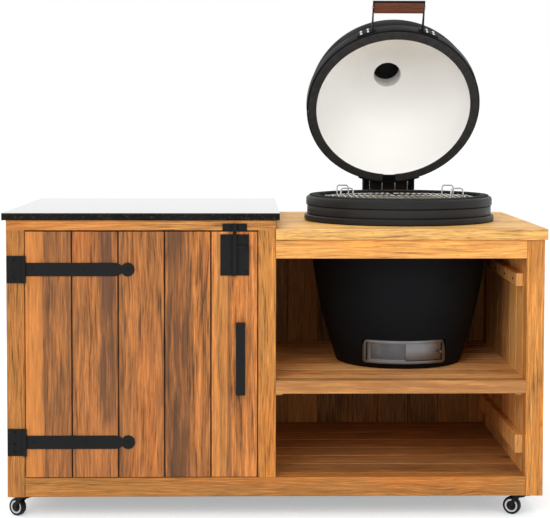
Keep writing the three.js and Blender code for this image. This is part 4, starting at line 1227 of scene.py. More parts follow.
@dataclass(frozen=True)
class KamadoBase:
    """The bowl, its felt, its hoop with the hinge's ears, and the draft vent. Sizes in millimetres."""

    sizes: Kamado
    bowl_opening: Pair = (30.0, 74.0)
    frame_opening: Pair = (29.0, 75.0)
    opening_half: float = 98.0
    door_view: Pair = (26.0, 78.0)
    door_view_half: float = 113.0
    felt_radii: Pair = (244.9, 270.9)
    hoop_radii: Pair = (275.3, 278.0)
    hoop_heights: Pair = (447.0, 471.0)
    ears: Pair = (70.0, 75.0)
    pin_radius: float = 7.0
    pin_end: float = 88.0
    screen_half: float = 29.8
    screen_low: float = 28.5
    screen_height: float = 47.0
    screen_rows: int = 12
    screen_columns: int = 52
    door_radii: Pair = (200.0, 202.0)
    door_heights: Pair = (21.4, 82.6)
    door_half: float = 16.6
    door_middle: float = 17.2
    knob_angle: float = 30.2
    knob_height: float = 52.0

    @property
    def place(self) -> Matrix:
        """Where the base stands."""
        return self.sizes.stand()

    def build(self) -> None:
        """Makes and dresses every piece."""
        self.bowl()
        self.felt()
        self.hoop()
        self.draft_frame()
        self.screen()
        self.draft_door()

    def pocket(self, name: str, groove_shade_and_dirt: float, radii: Pair) -> Object:
        """A bent block with the rounded face of the draft vent.

        Args:
            name: its name.
            groove_shade_and_dirt: how far it goes beyond the face.
            radii: its inner and outer radius.

        Returns:
            The block.
        """
        s = self.sizes
        heights = (s.vent_heights[0] - groove_shade_and_dirt, s.vent_heights[1] + groove_shade_and_dirt)
        block = bent(name, radii, heights, s.vent_angle + 2, steps=40)
        face = window(s.vent_chord / 2 + groove_shade_and_dirt, heights, radii[1] + 20, 80, s.vent_corner + groove_shade_and_dirt)
        return carved(block, face, "INTERSECT")

    def bowl(self) -> None:
        """The ceramic bowl with its flange, neck and lip, cut out for the draft vent."""
        s = self.sizes
        foot, heel = 5, 14
        bottom = s.floor + heel
        section = [(0, 0, 0), (s.outer(foot) - foot, 0, 4)]
        rises = [foot + (s.bowl_height - foot) * i / 30 for i in range(30)]
        section += [(s.outer(z), z, 0) for z in rises]
        section += [
            (s.bowl_radius, s.bowl_height, 2),
            (s.flange, s.bowl_height, 5),
            (s.flange, s.flange_top, 6),
            (s.neck, s.flange_top, 2),
            (s.neck, s.neck_top, 2),
            (s.lip, s.neck_top, 3),
            (s.lip, s.lip_top, 10),
            (s.mouth, s.lip_top, 5),
        ]
        falls = [bottom + (s.bowl_height - bottom) * i / 16 for i in range(16, -1, -1)]
        section += [(s.outer(z) - s.wall, z, 0) for z in falls]
        section += [(s.outer(s.floor) - s.wall - heel, s.floor, 0), (0, s.floor, 0)]
        bowl = turned("bowl", mm(rounded(section)), s.steps)
        carved(bowl, self.pocket("pocket", 2, (s.vent_radius - s.vent_depth - 0.3, 300)))
        carved(bowl, window(self.opening_half, self.bowl_opening, 290, 150))
        BLACK_CERAMIC.dress(bowl)
        low, inner = (s.bowl_height + 1) * MM, (s.mouth + 4) * MM
        LIP.cover(bowl, lambda face: low < face.center.z and face.center.xy.length > inner)
        finished(placed(bowl, self.place), "table", replaces=["base_shell"], angle=38)

    def felt(self) -> None:
        """The felt on the lip."""
        s = self.sizes
        section = rectangle(self.felt_radii, (s.lip_top, s.rim), (0.3, 0.3, 1.6, 1.6))
        felt = turned("base_felt", mm(section), s.steps)
        finished(placed(felt, self.place), "table", FELT, ["base_gasket"])

    def hoop(self) -> None:
        """The steel hoop round the neck, with the hinge's back plate, ears, pin and bolts."""
        s, end = self.sizes, self.pin_end
        (_, outer), (low, high) = self.hoop_radii, self.hoop_heights
        section = rectangle(self.hoop_radii, self.hoop_heights, (0.5, 1, 1, 0.5), 2)
        band = turned("base_hoop", mm(section), s.steps)
        back = bent("back", (outer - 1, outer + 4), self.hoop_heights, 16, 180)
        outline = [(268, low), (298.5, low), *arc(s.knuckle, 0, 180, 12, s.pin), (276, high), (268, high)]
        ears = [beside("ear", outline, side, *self.ears) for side in SIDES]
        pin = rod("pin", self.pin_radius, -end, end, s.pin)
        heads = [rod("head", self.pin_radius + 3, x, x + 3, s.pin) for x in (-end - 3, end)]
        solid = eased(joined("base_hoop", eased(band, 0.0003, 1, 40), back, *ears, pin, *heads))
        finished(placed(solid, self.place), "table", HOOP, ["base_band"])

    def draft_frame(self) -> None:
        """The bent stainless frame with the channel that the sliding door runs in."""
        s = self.sizes
        inner, face = s.vent_radius - s.vent_depth, s.vent_radius
        low, high = s.vent_heights
        frame = self.pocket("draft_frame", 0, (inner, face))
        depths, heights = (inner + 2.5, face - 2.5), (low + 3, high - 3)
        channel = bent("channel", depths, heights, s.vent_angle - 1, steps=40)
        carved(frame, channel)
        opening = bent("opening", (inner + 2.5, face + 9), (10, 94), s.vent_angle + 4, steps=40)
        carved(frame, carved(opening, window(self.door_view_half, self.door_view, 240, 0), "INTERSECT"))
        carved(frame, window(self.opening_half, self.frame_opening, 240, 100))
        finished(placed(eased(frame), self.place), "table", VENT_STEEL, ["draft_frame"])

    def screen(self) -> None:
        """The perforated screen, one hole to each cell of a bent net turned by 45 degrees."""
        s, half, rows = self.sizes, self.screen_half, self.screen_rows
        radius = (s.vent_radius - s.vent_depth + 1.4) * MM
        first = math.radians(-90 - half)
        x, y = radius * math.cos(first), radius * math.sin(first)
        heights = [(self.screen_low + self.screen_height * i / rows) * MM for i in range(rows + 1)]
        with modelled("spark_screen") as screen:
            drawn([(x, y, z) for z in heights], closed=False)
            spun(self.screen_columns, 2 * half)
            bpy.ops.mesh.select_all(action="SELECT")
            bpy.ops.mesh.remove_doubles(threshold=MERGE_DISTANCE)
            bpy.ops.mesh.select_mode(type="FACE")
            bpy.ops.mesh.select_all(action="SELECT")
            bpy.ops.mesh.poke()
            bpy.ops.mesh.tris_convert_to_quads(face_threshold=math.pi, shape_threshold=math.pi)
            bpy.ops.mesh.inset(thickness=0.00042, use_individual=True, use_boundary=True)
            bpy.ops.mesh.delete(type="FACE")
            bpy.ops.mesh.select_mode(type="VERT")
        applied(screen, "SOLIDIFY", thickness=0.0007, offset=0)
        finished(placed(screen, self.place), "table", VENT_STEEL)

    def draft_door(self) -> None:
        """The sliding door with its knob."""
        door = bent("draft_door", self.door_radii, self.door_heights, self.door_half, self.door_middle, 32)
        eased(door, 0.0005, angle=40)
        section = [(0, 0, 0), (2.6, 0, 0), (2.6, 8, 1), (5, 8, 1), (5, 16, 1.6), (0, 16, 0)]
        knob = turned("knob", mm(rounded(section, 3)), 24)
        angle = math.radians(self.knob_angle)
        way = Vector((math.sin(angle), -math.cos(angle), 0))
        foot = way * (self.door_radii[1] - 0.8) + Vector((0, 0, self.knob_height))
        placed(knob, facing(way, foot * MM))
        door = joined("draft_door", door, knob)
        finished(placed(door, self.place), "draft_door", VENT_STEEL, ["draft_door"])


@dataclass(frozen=True)
class KamadoLid:
    """The dome, its felt and hoop, the handle, and the top vent's cap and disc. Sizes in millimetres."""

    sizes: Kamado
    felt_radii: Pair = (242.75, 268.75)
    felt_gap: float = 20.5
    hoop_radii: Pair = (269.3, 273.3)
    arms: Pair = (79.0, 84.0)
    foot_radii: Pair = (273.6, 277.6)
    foot_heights: Pair = (514.5, 540.5)
    foot_angle: float = 20.5
    legs: Pair = (75.3, 79.3)
    leg_reach: float = 361.6
    leg_half: float = 4.0
    bolt_places: tuple[int, ...] = (-111, -90, 90, 111)
    bar_depths: Pair = (-357.3, -324.3)
    bar_heights: Pair = (515.5, 539.5)
    bar_half: float = 75.0
    cap_bore: float = 58.3
    cap_skirt: float = 26.0
    disc_radii: Pair = (5.4, 52.0)
    holes: int = 5
    hole_ring: float = 29.0
    hole_radius: float = 8.9

    @property
    def place(self) -> Matrix:
        """Where the open lid stands."""
        return self.sizes.lid()

    def build(self) -> None:
        """Makes and dresses every piece."""
        self.dome()
        self.felt()
        self.hoop()
        self.bracket()
        self.handle()
        self.cap()

    def dome(self) -> None:
        """The dome, black outside and glazed white inside."""
        s = self.sizes
        top = s.lid_rim + s.lid_height + s.chimney_height
        outer = s.dome(s.lid_radius, s.lid_height, s.chimney)
        inner = s.dome(s.mouth, s.lid_height - s.lid_wall, s.neck_bore)[::-1]
        section = [(s.lid_radius, s.lid_rim, 2.5), *((r, z, 0) for r, z in outer[1:-1])]
        section += [(*outer[-1], 6), (s.chimney, top, 2.5), (s.neck_bore, top, 2.5), (*inner[0], 5)]
        section += [(r, z, 0) for r, z in inner[1:-1]] + [(s.mouth, s.lid_rim, 3)]
        dome = turned("lid_dome", mm(rounded(section)), s.steps)
        middle = Vector((0, 0, s.lid_rim * MM))

        def inward(face: Face) -> bool:
            """Whether a face looks towards the middle of the rim."""
            spot = face.center - middle
            return spot.dot(face.normal) < -0.0002 * spot.length

        BLACK_CERAMIC.dress(dome)
        GLAZE.cover(dome, inward)
        finished(placed(dome, self.place), "lid", replaces=["lid_shell"], angle=38)

    def felt(self) -> None:
        """The felt on the dome's rim, with its butt gap at the hinge."""
        s = self.sizes
        groove_shade_and_dirt = math.degrees(self.felt_gap / 255)
        section = rectangle(self.felt_radii, (s.lid_rim - 4, s.lid_rim - 0.3), (1.6, 1.6, 0.3, 0.3))
        felt = turned("lid_felt", mm(section), s.steps, 180 + groove_shade_and_dirt, 360 - 2 * groove_shade_and_dirt)
        finished(placed(felt, self.place), "lid", FELT, ["lid_gasket"])

    def hoop(self) -> None:
        """The steel hoop with the hinge's arms and the plate between them."""
        s = self.sizes
        low, high = heights = (s.lid_rim + 2, s.lid_rim + 36)
        outer = self.hoop_radii[1]
        band = turned("lid_hoop", mm(rectangle(self.hoop_radii, heights, (0.5, 1.4, 1.4, 0.5), 2)), s.steps)
        wing = bent("wing", (outer - 1, outer + 4), heights, 21, 180)
        knuckle = arc(s.knuckle, 150, 30, 12, s.pin)
        outline = [(256, low + 5), (292, 496.5), *knuckle, (318, low + 14), (282, high), (256, high)]
        arms = [beside("arm", outline, side, *self.arms) for side in SIDES]
        end = self.arms[1]
        rest = across("rest", rectangle((271.5, 318), (low + 10, low + 14)), -end, end)
        hoop = eased(joined("lid_hoop", band, wing, *arms, rest))
        finished(placed(hoop, self.place), "lid", BLACK_STEEL, ["lid_band"])

    def bracket(self) -> None:
        """The handle's bracket, whose strap narrows on its way round the bar, and its bolts on the hoop."""
        low, high = self.foot_heights
        reach, far = self.leg_reach, self.legs[1]
        middle = (low + high) / 2
        under, over = middle - self.leg_half, middle + self.leg_half
        leg = [(-263, low), (-263, high), (-282, high), (-335, over), (-reach, over), (-reach, under),
               (-335, under), (-282, low)]
        parts = []
        for side in SIDES:
            parts.append(bent("foot", self.foot_radii, self.foot_heights, 6.5, side * self.foot_angle))
            parts.append(beside("leg", leg, side, *self.legs))
        parts.append(across("strap", rectangle((-reach, 4 - reach), (under, over)), -far, far))
        bracket = eased(joined("handle_strap", *parts))
        finished(placed(bracket, self.place), "lid", BLACK_STEEL, ["handle_bracket"])
        bolts = []
        for x in self.bolt_places:
            y = -math.sqrt(self.foot_radii[1] ** 2 - x * x)
            for z in (low + 6, high - 6):
                bolts.append(placed(domed_head(0.0045, 0.003), facing((x, y, 0), Vector((x, y, z)) * MM)))
        finished(placed(joined("lid_hoop_bolts", *bolts), self.place), "lid", BRIGHT_STEEL)

    def handle(self) -> None:
        """The wooden bar and the bolts through its ends."""
        outline = rectangle(self.bar_depths, self.bar_heights, (6, 6, 6, 6), 5)
        bar = eased(across("handle_wood", outline, -self.bar_half, self.bar_half), 0.0016, 3, 60)
        finished(placed(bar, self.place), "lid", HANDLE_WOOD, ["handle_bar"])
        y, z = sum(self.bar_depths) / 2, sum(self.bar_heights) / 2
        bolts = []
        for side in SIDES:
            end = Vector((side * self.legs[1], y, z)) * MM
            bolts.append(placed(domed_head(0.006, 0.003), facing((side, 0, 0), end)))
        finished(placed(joined("handle_bolts", *bolts), self.place), "lid", STAINLESS)

    def cap(self) -> None:
        """The iron cap on the chimney and the disc that turns on it."""
        s = self.sizes
        under = s.lid_rim + s.lid_height + s.chimney_height + 0.3
        inner = self.cap_bore / math.cos(math.pi / 20)
        outer, top = inner + 7, under + 6
        foot = top - self.cap_skirt
        section = [
            (0, under, 0),
            (inner, under, 0.5),
            (inner, foot, 0.5),
            (outer, foot, 1),
            (outer, top, 5),
            (5, top, 0.5),
            (5, top + 4.8, 0),
            (9, top + 4.8, 0.5),
            (9, top + 7.8, 1),
            (0, top + 7.8, 0),
        ]
        cap = turned("chimney_cap", mm(rounded(section, 3)), 80)
        low, high = top + 0.4, top + 4.4
        disc = turned("vent_disc", mm(rectangle(self.disc_radii, (low, high), (0, 0.5, 0.8, 0), 2)), 80)
        tab = rectangle((41, 74), (-7, 7), (0, 5, 5, 0))
        leaf = plate("tab", mm([(x, y, low) for x, y in tab]), (0, 0, 0.004))
        for piece, share in ((cap, 0.0), (disc, 0.5)):
            for i in range(self.holes):
                turn = 2 * math.pi * (i + share) / self.holes
                centre = (self.hole_ring * math.cos(turn), self.hole_ring * math.sin(turn))
                circle = arc(self.hole_radius, 0, 360, 32, centre)[:-1]
                carved(piece, plate("hole", mm([(x, y, under - 5) for x, y in circle]), (0, 0, 0.03)))
        finished(placed(cap, self.place), "lid", CAST_IRON, ["vent_cap"])
        disc = eased(joined("vent_disc", disc, leaf), 0.0005)
        finished(placed(disc, self.place), "top_vent", CAST_IRON, ["vent_wheel"])


@dataclass(frozen=True)
class HingeSprings:
    """Two double torsion springs on the hinge's pin, each one unbroken wire. Sizes in millimetres."""

    sizes: Kamado
    middle: float = 41.5
    span: float = 41.0
    radius: float = 10.0
    wire: float = 3.6
    turns: int = 3
    leg_angle: float = 24.0
    wing: float = 277.6
    bend: float = 7.0
    loop_reach: float = 11.0

    def route(self, sign: int) -> list[tuple[float, ...]]:
        """The line of one spring's wire, from one leg round both coils to the other.

        Args:
            sign: 1 or -1, the side of the hinge.

        Returns:
            The points, in metres.
        """
        s, half, bend = self.sizes, self.span / 2, self.bend / 2
        leg = math.radians(self.leg_angle)
        hinge_y, hinge_z = s.pin

        def spot(x: float, angle: float, out: float = 0.0) -> tuple[float, float, float]:
            """A point at an angle round the pin, moved along the tangent.

            Args:
                x: its place along the spring.
                angle: its angle, in radians.
                out: how far it is moved.

            Returns:
                The point, in millimetres.
            """
            y = hinge_y + self.radius * math.sin(angle) + out * math.cos(angle)
            z = hinge_z + self.radius * math.cos(angle) - out * math.sin(angle)
            return (sign * (self.middle + x), y, z)

        def tip(x: float) -> tuple[float, float, float]:
            """The end of a leg, on the hoop's wing."""
            face = math.sqrt(self.wing ** 2 - (self.middle + x) ** 2) + self.wire / 2 * math.sin(leg)
            return spot(x, leg, (face - hinge_y - self.radius * math.sin(leg)) / math.cos(leg))

        end = 2 * math.pi * self.turns + math.pi / 2 - math.radians(s.open_angle)
        steps = 20 * self.turns
        wind = [((half - bend) * i / steps, leg + (end - leg) * i / steps) for i in range(steps + 1)]
        near = [spot(x - half, angle) for x, angle in wind]
        far = [spot(half - x, angle) for x, angle in reversed(wind)]
        curve = arc(bend, -90, 90, 10, (self.loop_reach - bend, 0))
        loop = [spot(x, end, out) for out, x in curve]
        inner = [tip(-half), spot(-half, leg, -self.wire)]
        outer = [spot(half, leg, -self.wire), tip(half)]
        return mm([*inner, *near, *loop, *far, *outer])

    def build(self) -> None:
        """Makes and dresses both springs."""
        for name, sign in (("left", -1), ("right", 1)):
            spring = pipe(f"spring_{name}", [self.route(sign)], self.wire / 2 * MM)
            spring = placed(spring, self.sizes.lid())
            finished(spring, "lid", BRIGHT_STEEL, [f"hinge_spring_{name}"], 60)


@dataclass(frozen=True)
class CookingGrates:
    """Two half-moon grates of round wire with lifting loops. Sizes in millimetres."""

    sizes: Kamado
    top: float = 498.0
    groove_shade_and_dirt: float = 8.0
    straight: float = 5.0
    bar: float = 1.7
    rim: float = 3.0
    spaces: int = 13
    brace_share: float = 0.4
    loop_share: float = 0.42
    loop_spaces: tuple[int, int] = (8, 10)
    loop_wire: float = 2.4
    loop_rise: float = 28.0
    loop_bend: float = 7.0

    def build(self) -> None:
        """Makes and dresses both halves."""
        for name, side in (("left", -1), ("right", 1)):
            grate = placed(joined(f"grate_{name}_wires", *self.wires(side)), self.sizes.stand())
            finished(grate, f"grate_{name}", BRIGHT_STEEL, [f"cooking_grate_{name}"], 60)

    def wires(self, side: int) -> list[Object]:
        """The wires of one half.

        Args:
            side: 1 to the right and -1 to the left.

        Returns:
            The rim, the bars, the braces and the loops.
        """
        radius = self.sizes.mouth - self.groove_shade_and_dirt
        places = [self.straight + (radius - self.straight) * i / self.spaces for i in range(self.spaces)]
        low, middle = self.top - 2 * self.bar, self.top - self.bar
        sweep = math.degrees(math.acos(self.straight / radius))
        rim = [(side * x, y, low - self.rim + 1) for x, y in arc(radius, -sweep, sweep, 72)]
        bars = []
        for x in places[1:]:
            end = math.sqrt(radius ** 2 - x * x)
            bars.append(mm([(side * x, -end, middle), (side * x, end, middle)]))
        braces, loops = [], []
        for sign in SIDES:
            y = sign * self.brace_share * radius
            z = low - self.bar + 1
            braces.append(mm([(side * self.straight, y, z), (side * math.sqrt(radius ** 2 - y * y), y, z)]))
            loops.append(self.loop(side, sign * self.loop_share * radius, low, places))
        return [
            pipe("rim", [mm(rim)], self.rim * MM, 12, closed=True),
            pipe("bars", bars, self.bar * MM),
            pipe("braces", braces, self.bar * MM),
            pipe("loops", loops, self.loop_wire * MM),
        ]

    def loop(self, side: int, y: float, low: float, places: Sequence[float]) -> list[tuple[float, ...]]:
        """The line of one lifting loop.

        Args:
            side: 1 to the right and -1 to the left.
            y: where it stands along the bars.
            low: the height of its feet.
            places: how far the bars lie from the middle.

        Returns:
            The points, in metres.
        """
        near, far = (side * places[i] for i in self.loop_spaces)
        bend = self.loop_bend
        shoulder = self.top + self.loop_rise - bend
        curve = [(1 - u, v) for u, v in arc(1, 0, 90, 5)]
        left = [(near + side * bend * u, y, shoulder + bend * v) for u, v in curve]
        right = [(far - side * bend * u, y, shoulder + bend * v) for u, v in reversed(curve)]
        return mm([(near, y, low), *left, *right, (far, y, low)])


# The table's fittings

CORNERS = ("front_left", "front_right", "back_left", "back_right")


@dataclass(frozen=True)
class Casters:
    """The four wheels: rubber tread, polymer core and a bright steel ring. Sizes in millimetres."""

    radius: float = 25.0
    half: float = 9.5
    groove: Pair = (13.0, 19.0)
    groove_depth: float = 2.4
    hub: float = 9.0
    steps: int = 48

    def build(self, joints: Sequence[dict]) -> None:
        """Makes one wheel about Z and sets copies of it into the forks.

        Args:
            joints: the record's joints, which hold the axles.
        """
        tyre, ring = self.tyre(), self.ring()
        for corner in CORNERS:
            axle = next(joint["axis"] for joint in joints if joint["name"] == f"roll_{corner}")
            low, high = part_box(f"caster_wheel_{corner}")
            place = facing(axle, (low + high) / 2)
            wheel = placed(linked(f"tyre_{corner}", tyre.data.copy()), place)
            finished(wheel, f"wheel_{corner}", RUBBER, [f"caster_wheel_{corner}"])
            rim = placed(linked(f"hub_{corner}", ring.data.copy()), place)
            finished(rim, f"wheel_{corner}", CHROME)
        for piece in (tyre, ring):
            bpy.data.objects.remove(piece, do_unlink=True)

    def tyre(self) -> Object:
        """The wheel's tread and core.

        Returns:
            The piece, about Z.
        """
        half, (near, far) = self.half, self.groove
        bottom = half - self.groove_depth
        upper = [(self.radius, half, 6), (far, half, 1.5), (far, bottom, 1), (near, bottom, 1)]
        upper += [(near, half, 1), (self.hub, half, 1), (self.hub, half - 1, 0.5), (0, half - 1, 0)]
        lower = [(r, -z, ease) for r, z, ease in reversed(upper)]
        return turned("tyre", mm(rounded(lower + upper, 3)), self.steps)

    def ring(self) -> Object:
        """The bright rings let into both faces.

        Returns:
            The piece, about Z.
        """
        near, far = self.groove[0] + 0.3, self.groove[1] - 0.3
        low, mid, high = self.half - self.groove_depth, self.half - 1.4, self.half - 0.8
        rings = []
        for side in SIDES:
            section = [(near, side * low, 0.4), (far, side * low, 0.4), (far, side * high, 0.8),
                       (near, side * mid, 0.8)]
            rings.append(turned("ring", mm(rounded(section, 3)), self.steps))
        return joined("ring", *rings)


@dataclass(frozen=True)
class DoorFittings:
    """Screws of the strap hinges, the latch and the upper batten. Sizes in metres."""

    head: Pair = (0.0042, 0.0022)
    leaf: float = 0.0033
    butt_inset: float = 0.018
    butt_shares: tuple[float, ...] = (0.14, 0.42, 0.86)
    strap_screws: tuple[float, ...] = (0.172, 0.03)
    strap_end: float = 0.020
    latch_insets: Pair = (0.008, 0.009)
    batten_height: float = 0.666
    batten_depths: tuple[float, ...] = (-0.290, -0.164, -0.0125, 0.113)

    def build(self) -> None:
        """Makes and dresses every screw."""
        frame_screws: list[Point] = []
        door_screws: list[Point] = []
        for place in ("lower", "upper"):
            low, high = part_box(f"hinge_butt_{place}")
            heights = [low.z + share * (high.z - low.z) for share in self.butt_shares]
            frame_screws += [(low.x + self.butt_inset, low.y, z) for z in heights]
            low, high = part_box(f"hinge_strap_{place}")
            first, second = self.strap_screws
            middle = (low.z + high.z) / 2
            places = (low.x + first, high.x - self.strap_end, low.x + second)
            door_screws += [(x, high.y - self.leaf, middle) for x in places]
        low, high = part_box("latch_body")
        inset, rise = self.latch_insets
        for x in (low.x + inset, high.x - inset):
            door_screws += [(x, high.y - self.leaf, z) for z in (low.z + rise, high.z - rise)]
        panel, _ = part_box("side_panel_right")
        batten_screws = [(panel.x, depth, self.batten_height) for depth in self.batten_depths]
        self.screws("screws_table", "table", frame_screws)
        self.screws("screws_door", "door", door_screws)
        self.screws("screws_batten", "table", batten_screws, (-1, 0, 0))

    def screws(self, name: str, body: str, places: Sequence[Point], outward: Point = (0, -1, 0)) -> None:
        """Domed screw heads on a face.

        Args:
            name: the piece's name.
            body: the body that it rides on.
            places: where the heads are.
            outward: the way the face looks.
        """
        heads = [placed(domed_head(*self.head, 14), facing(outward, place)) for place in places]
        finished(joined(name, *heads), body, BLACK_STEEL)


# The wooden table

RAIL = (159, 107, 54)
POST = (189, 126, 62)
LEFT_POST = (170, 112, 56)
DOOR = (173, 109, 57)
LEDGE_THICKNESS = 0.018
LEDGE_WOOD = Teak("ledges", Grain.LENGTHWISE, seed=61.0, mean=DOOR, spread=0.0)
HANDLE_WOOD = Teak("handle_wood", Grain.LENGTHWISE, seed=71.0, mean=(98, 56, 38), knots=0.0)


@dataclass(frozen=True)
class Cabinet:
    """Dresses the table's solids. Sizes in metres."""

    door_boards: int = 5
    overshoot: float = 0.1

    def dress(self, nodes: dict[str, Object]) -> None:
        """Gives every wooden solid its boards, and the rest their metals, stone and clay.

        Args:
            nodes: the loaded solids by name.
        """
        for name, finish in {**self.planks(), **self.beams(), **self.others()}.items():
            finish.dress(nodes[name])
            LOG.info("%s dressed", name)
        _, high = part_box("door")
        front = high.y - LEDGE_THICKNESS + 0.001
        LEDGE_WOOD.cover(nodes["door"], lambda face: face.center.y > front)

    def boards(self, name: str, node: str, count: int, grain: Grain, **looks: object) -> Teak:
        """Boards side by side that fill a solid.

        Args:
            name: the finish's name, apart from its end.
            node: the solid.
            count: how many boards there are.
            grain: the way they lie.
            looks: the finish's other fields.

        Returns:
            The finish.
        """
        low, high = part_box(node)
        axis = "XYZ".index(grain.value[1])
        pitch = (high[axis] - low[axis]) / count
        return Teak(name + "_boards", grain, start=low[axis], pitch=pitch, **looks)

    def planks(self) -> dict[str, Finish]:
        """The solids that are made of several boards, with their finishes.

        Returns:
            Name to finish.
        """
        flat, side = Grain.LENGTHWISE_FLAT, Grain.UPRIGHT_SIDE
        low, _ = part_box("grill_shelf")
        # Painted light: the shelf's mean is raised to light its top, which lies in the bay's shade, and
        # this band paints its front edge darker again.
        edge_darker_than_lit_top = Band(low.y + 0.02, 0.021, -1.0, 2.0, 1.0, 0.001, 0.001, tint=colour(146, 96, 54))
        worktop = {"mean": (218, 165, 97), "streaks": 0.42}
        shelf = {"mean": (222, 158, 98), "bands": (edge_darker_than_lit_top,)}
        back = {"mean": (143, 98, 46), "spread": 0.5}
        found: dict[str, Finish] = {
            "door": self.door(),
            "worktop": self.boards("worktop", "worktop", 9, flat, seed=9.0, **worktop),
            "grill_shelf": self.boards("shelf", "grill_shelf", 8, flat, seed=17.0, **shelf),
            "floor": self.boards("floor", "floor", 6, flat, seed=23.0, mean=(165, 116, 68)),
            "back_panel": self.boards("back", "back_panel", 15, Grain.UPRIGHT, seed=29.0, **back),
        }
        for name in ("side_panel_left", "side_panel_right", "partition"):
            looks = {"seed": 41.0 + len(name), "spread": 0.5, "mean": (218, 155, 90)}
            found[name] = self.boards(name, name, 6, side, **looks)
        return found

    def beams(self) -> dict[str, Finish]:
        """The solids that are one piece of wood each, with their finishes.

        Returns:
            Name to finish.
        """
        along = Grain.LENGTHWISE
        found: dict[str, Finish] = {
            "rail_bottom_front": Teak("rail_front", along, seed=3.0, knots=0.75, streaks=0.4, mean=RAIL),
            "apron_front": Teak("apron", along, seed=5.0, knots=0.3, streaks=0.45, mean=(209, 146, 78)),
            "top_frame": Teak("stone_frame", along, seed=11.0, knots=0.3, mean=(178, 121, 65)),
            "rail_bottom_back": Teak("rail_back", along, seed=31.0, mean=RAIL),
        }
        for name in ("rail_bottom_left", "rail_bottom_right"):
            found[name] = Teak(name, Grain.DEPTHWISE, seed=37.0, mean=RAIL)
        low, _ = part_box("post_front_right")
        crack = Band(low.x + 0.031, 0.0012, 0.28, 0.67, 1.0, 0.0012, 0.014)
        posts = ("front_left", "front_middle", "front_right", "back_left", "back_middle", "back_right")
        for i, name in enumerate(posts):
            looks = {
                "seed": 47.0 + i,
                "knots": 0.9 if "right" in name else 0.4,
                "mean": LEFT_POST if name == "front_left" else POST,
                "bands": (crack,) if name == "front_right" else (),
            }
            found["post_" + name] = Teak("post_" + name, Grain.UPRIGHT, streaks=0.45, **looks)
        return found

    def others(self) -> dict[str, Finish]:
        """The solids that aren't of wood, with their finishes.

        Returns:
            Name to finish.
        """
        steel = [f"hinge_{kind}_{place}" for kind in ("butt", "strap") for place in ("lower", "upper")]
        steel += ["door_pull", "latch_body", "latch_bolt", "latch_keeper"]
        steel += [f"caster_{kind}_{corner}" for corner in CORNERS for kind in ("plate", "fork")]
        found: dict[str, Finish] = {name: BLACK_STEEL for name in steel}
        clay: dict[str, Finish] = {"fire_bowl": CLAY, "fire_ring": CLAY}
        return {**found, **clay, "granite_top": STONE, "charcoal_grate": CAST_IRON}

    def door(self) -> Teak:
        """The door's five boards, with the dark heartwood that runs down them and painted shade and dirt in
        the grooves between them.

        Returns:
            The finish.
        """
        low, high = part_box("door")
        pitch = (high.x - low.x) / self.door_boards
        edge = [low.x + pitch * i for i in range(self.door_boards)]
        ends = (low.z - self.overshoot, high.z + self.overshoot)
        short = (low.z + 0.1, ends[1])
        orange, pale = colour(206, 132, 66), colour(204, 140, 74)
        dark, darker, groove_shade_and_dirt = colour(84, 60, 46), colour(82, 58, 42), colour(34, 20, 12)
        bands = [
            Band(edge[0] + 0.022, 0.026, *ends, 0.75, 0.004, 0.01, tint=orange),
            Band(edge[0] + 0.090, 0.044, *ends, 0.62, 0.012, 0.04),
            Band(edge[0] + 0.058, 0.008, *ends, 0.5, 0.006, 0.04),
            Band(edge[1] + 0.065, 0.080, *ends, 0.42, 0.004, 0.01),
            Band(edge[1] + 0.098, 0.020, *short, 1.0, 0.008, 0.05, tint=dark),
            Band(edge[2] + 0.065, 0.080, *ends, 0.36, 0.004, 0.01),
            Band(edge[3] + 0.036, 0.036, *ends, 1.0, 0.010, 0.04, tint=darker),
            Band(edge[3] + 0.108, 0.006, *ends, 0.4, 0.006, 0.02),
            Band(edge[4] + 0.028, 0.024, *ends, 0.5, 0.008, 0.03, tint=pale),
            Band(edge[4] + 0.050, 0.004, *ends, 0.8, 0.004, 0.012),
        ]
        # Painted shade and dirt darken the grooves between the boards.
        bands += [Band(x, 0.0024, *ends, 1.0, 0.0009, 0.001, tint=groove_shade_and_dirt) for x in edge[1:]]
        looks = {"seed": 2.0, "spread": 0.1, "knots": 0.3, "streaks": 0.9, "mean": DOOR}
        return self.boards("door", "door", self.door_boards, Grain.UPRIGHT, bands=tuple(bands), **looks)


# The studio


@dataclass(frozen=True)
class Lamp:
    """A square soft light, in metres and watts."""

    name: str
    place: Point
    aim: Point
    power: float
    side: float = 2.4

    def build(self) -> None:
        """Hangs the lamp, which isn't seen in mirrored light."""
        light = bpy.data.lights.new(self.name, "AREA")
        light.size = self.side
        light.energy = self.power
        source = linked(self.name, light)
        source.visible_glossy = False
        source.location = self.place
        source.rotation_euler = (Vector(self.aim) - Vector(self.place)).to_track_quat("-Z", "Y").to_euler()


LAMPS = (
    Lamp("key", (-1.5, -4.0, 2.9), (0.1, 0.0, 0.7), 88.0),
    Lamp("fill", (3.0, -3.4, 1.8), (0.2, 0.0, 0.7), 37.0),
    Lamp("top", (0.2, 0.4, 4.2), (0.1, 0.0, 0.8), 40.0),
)


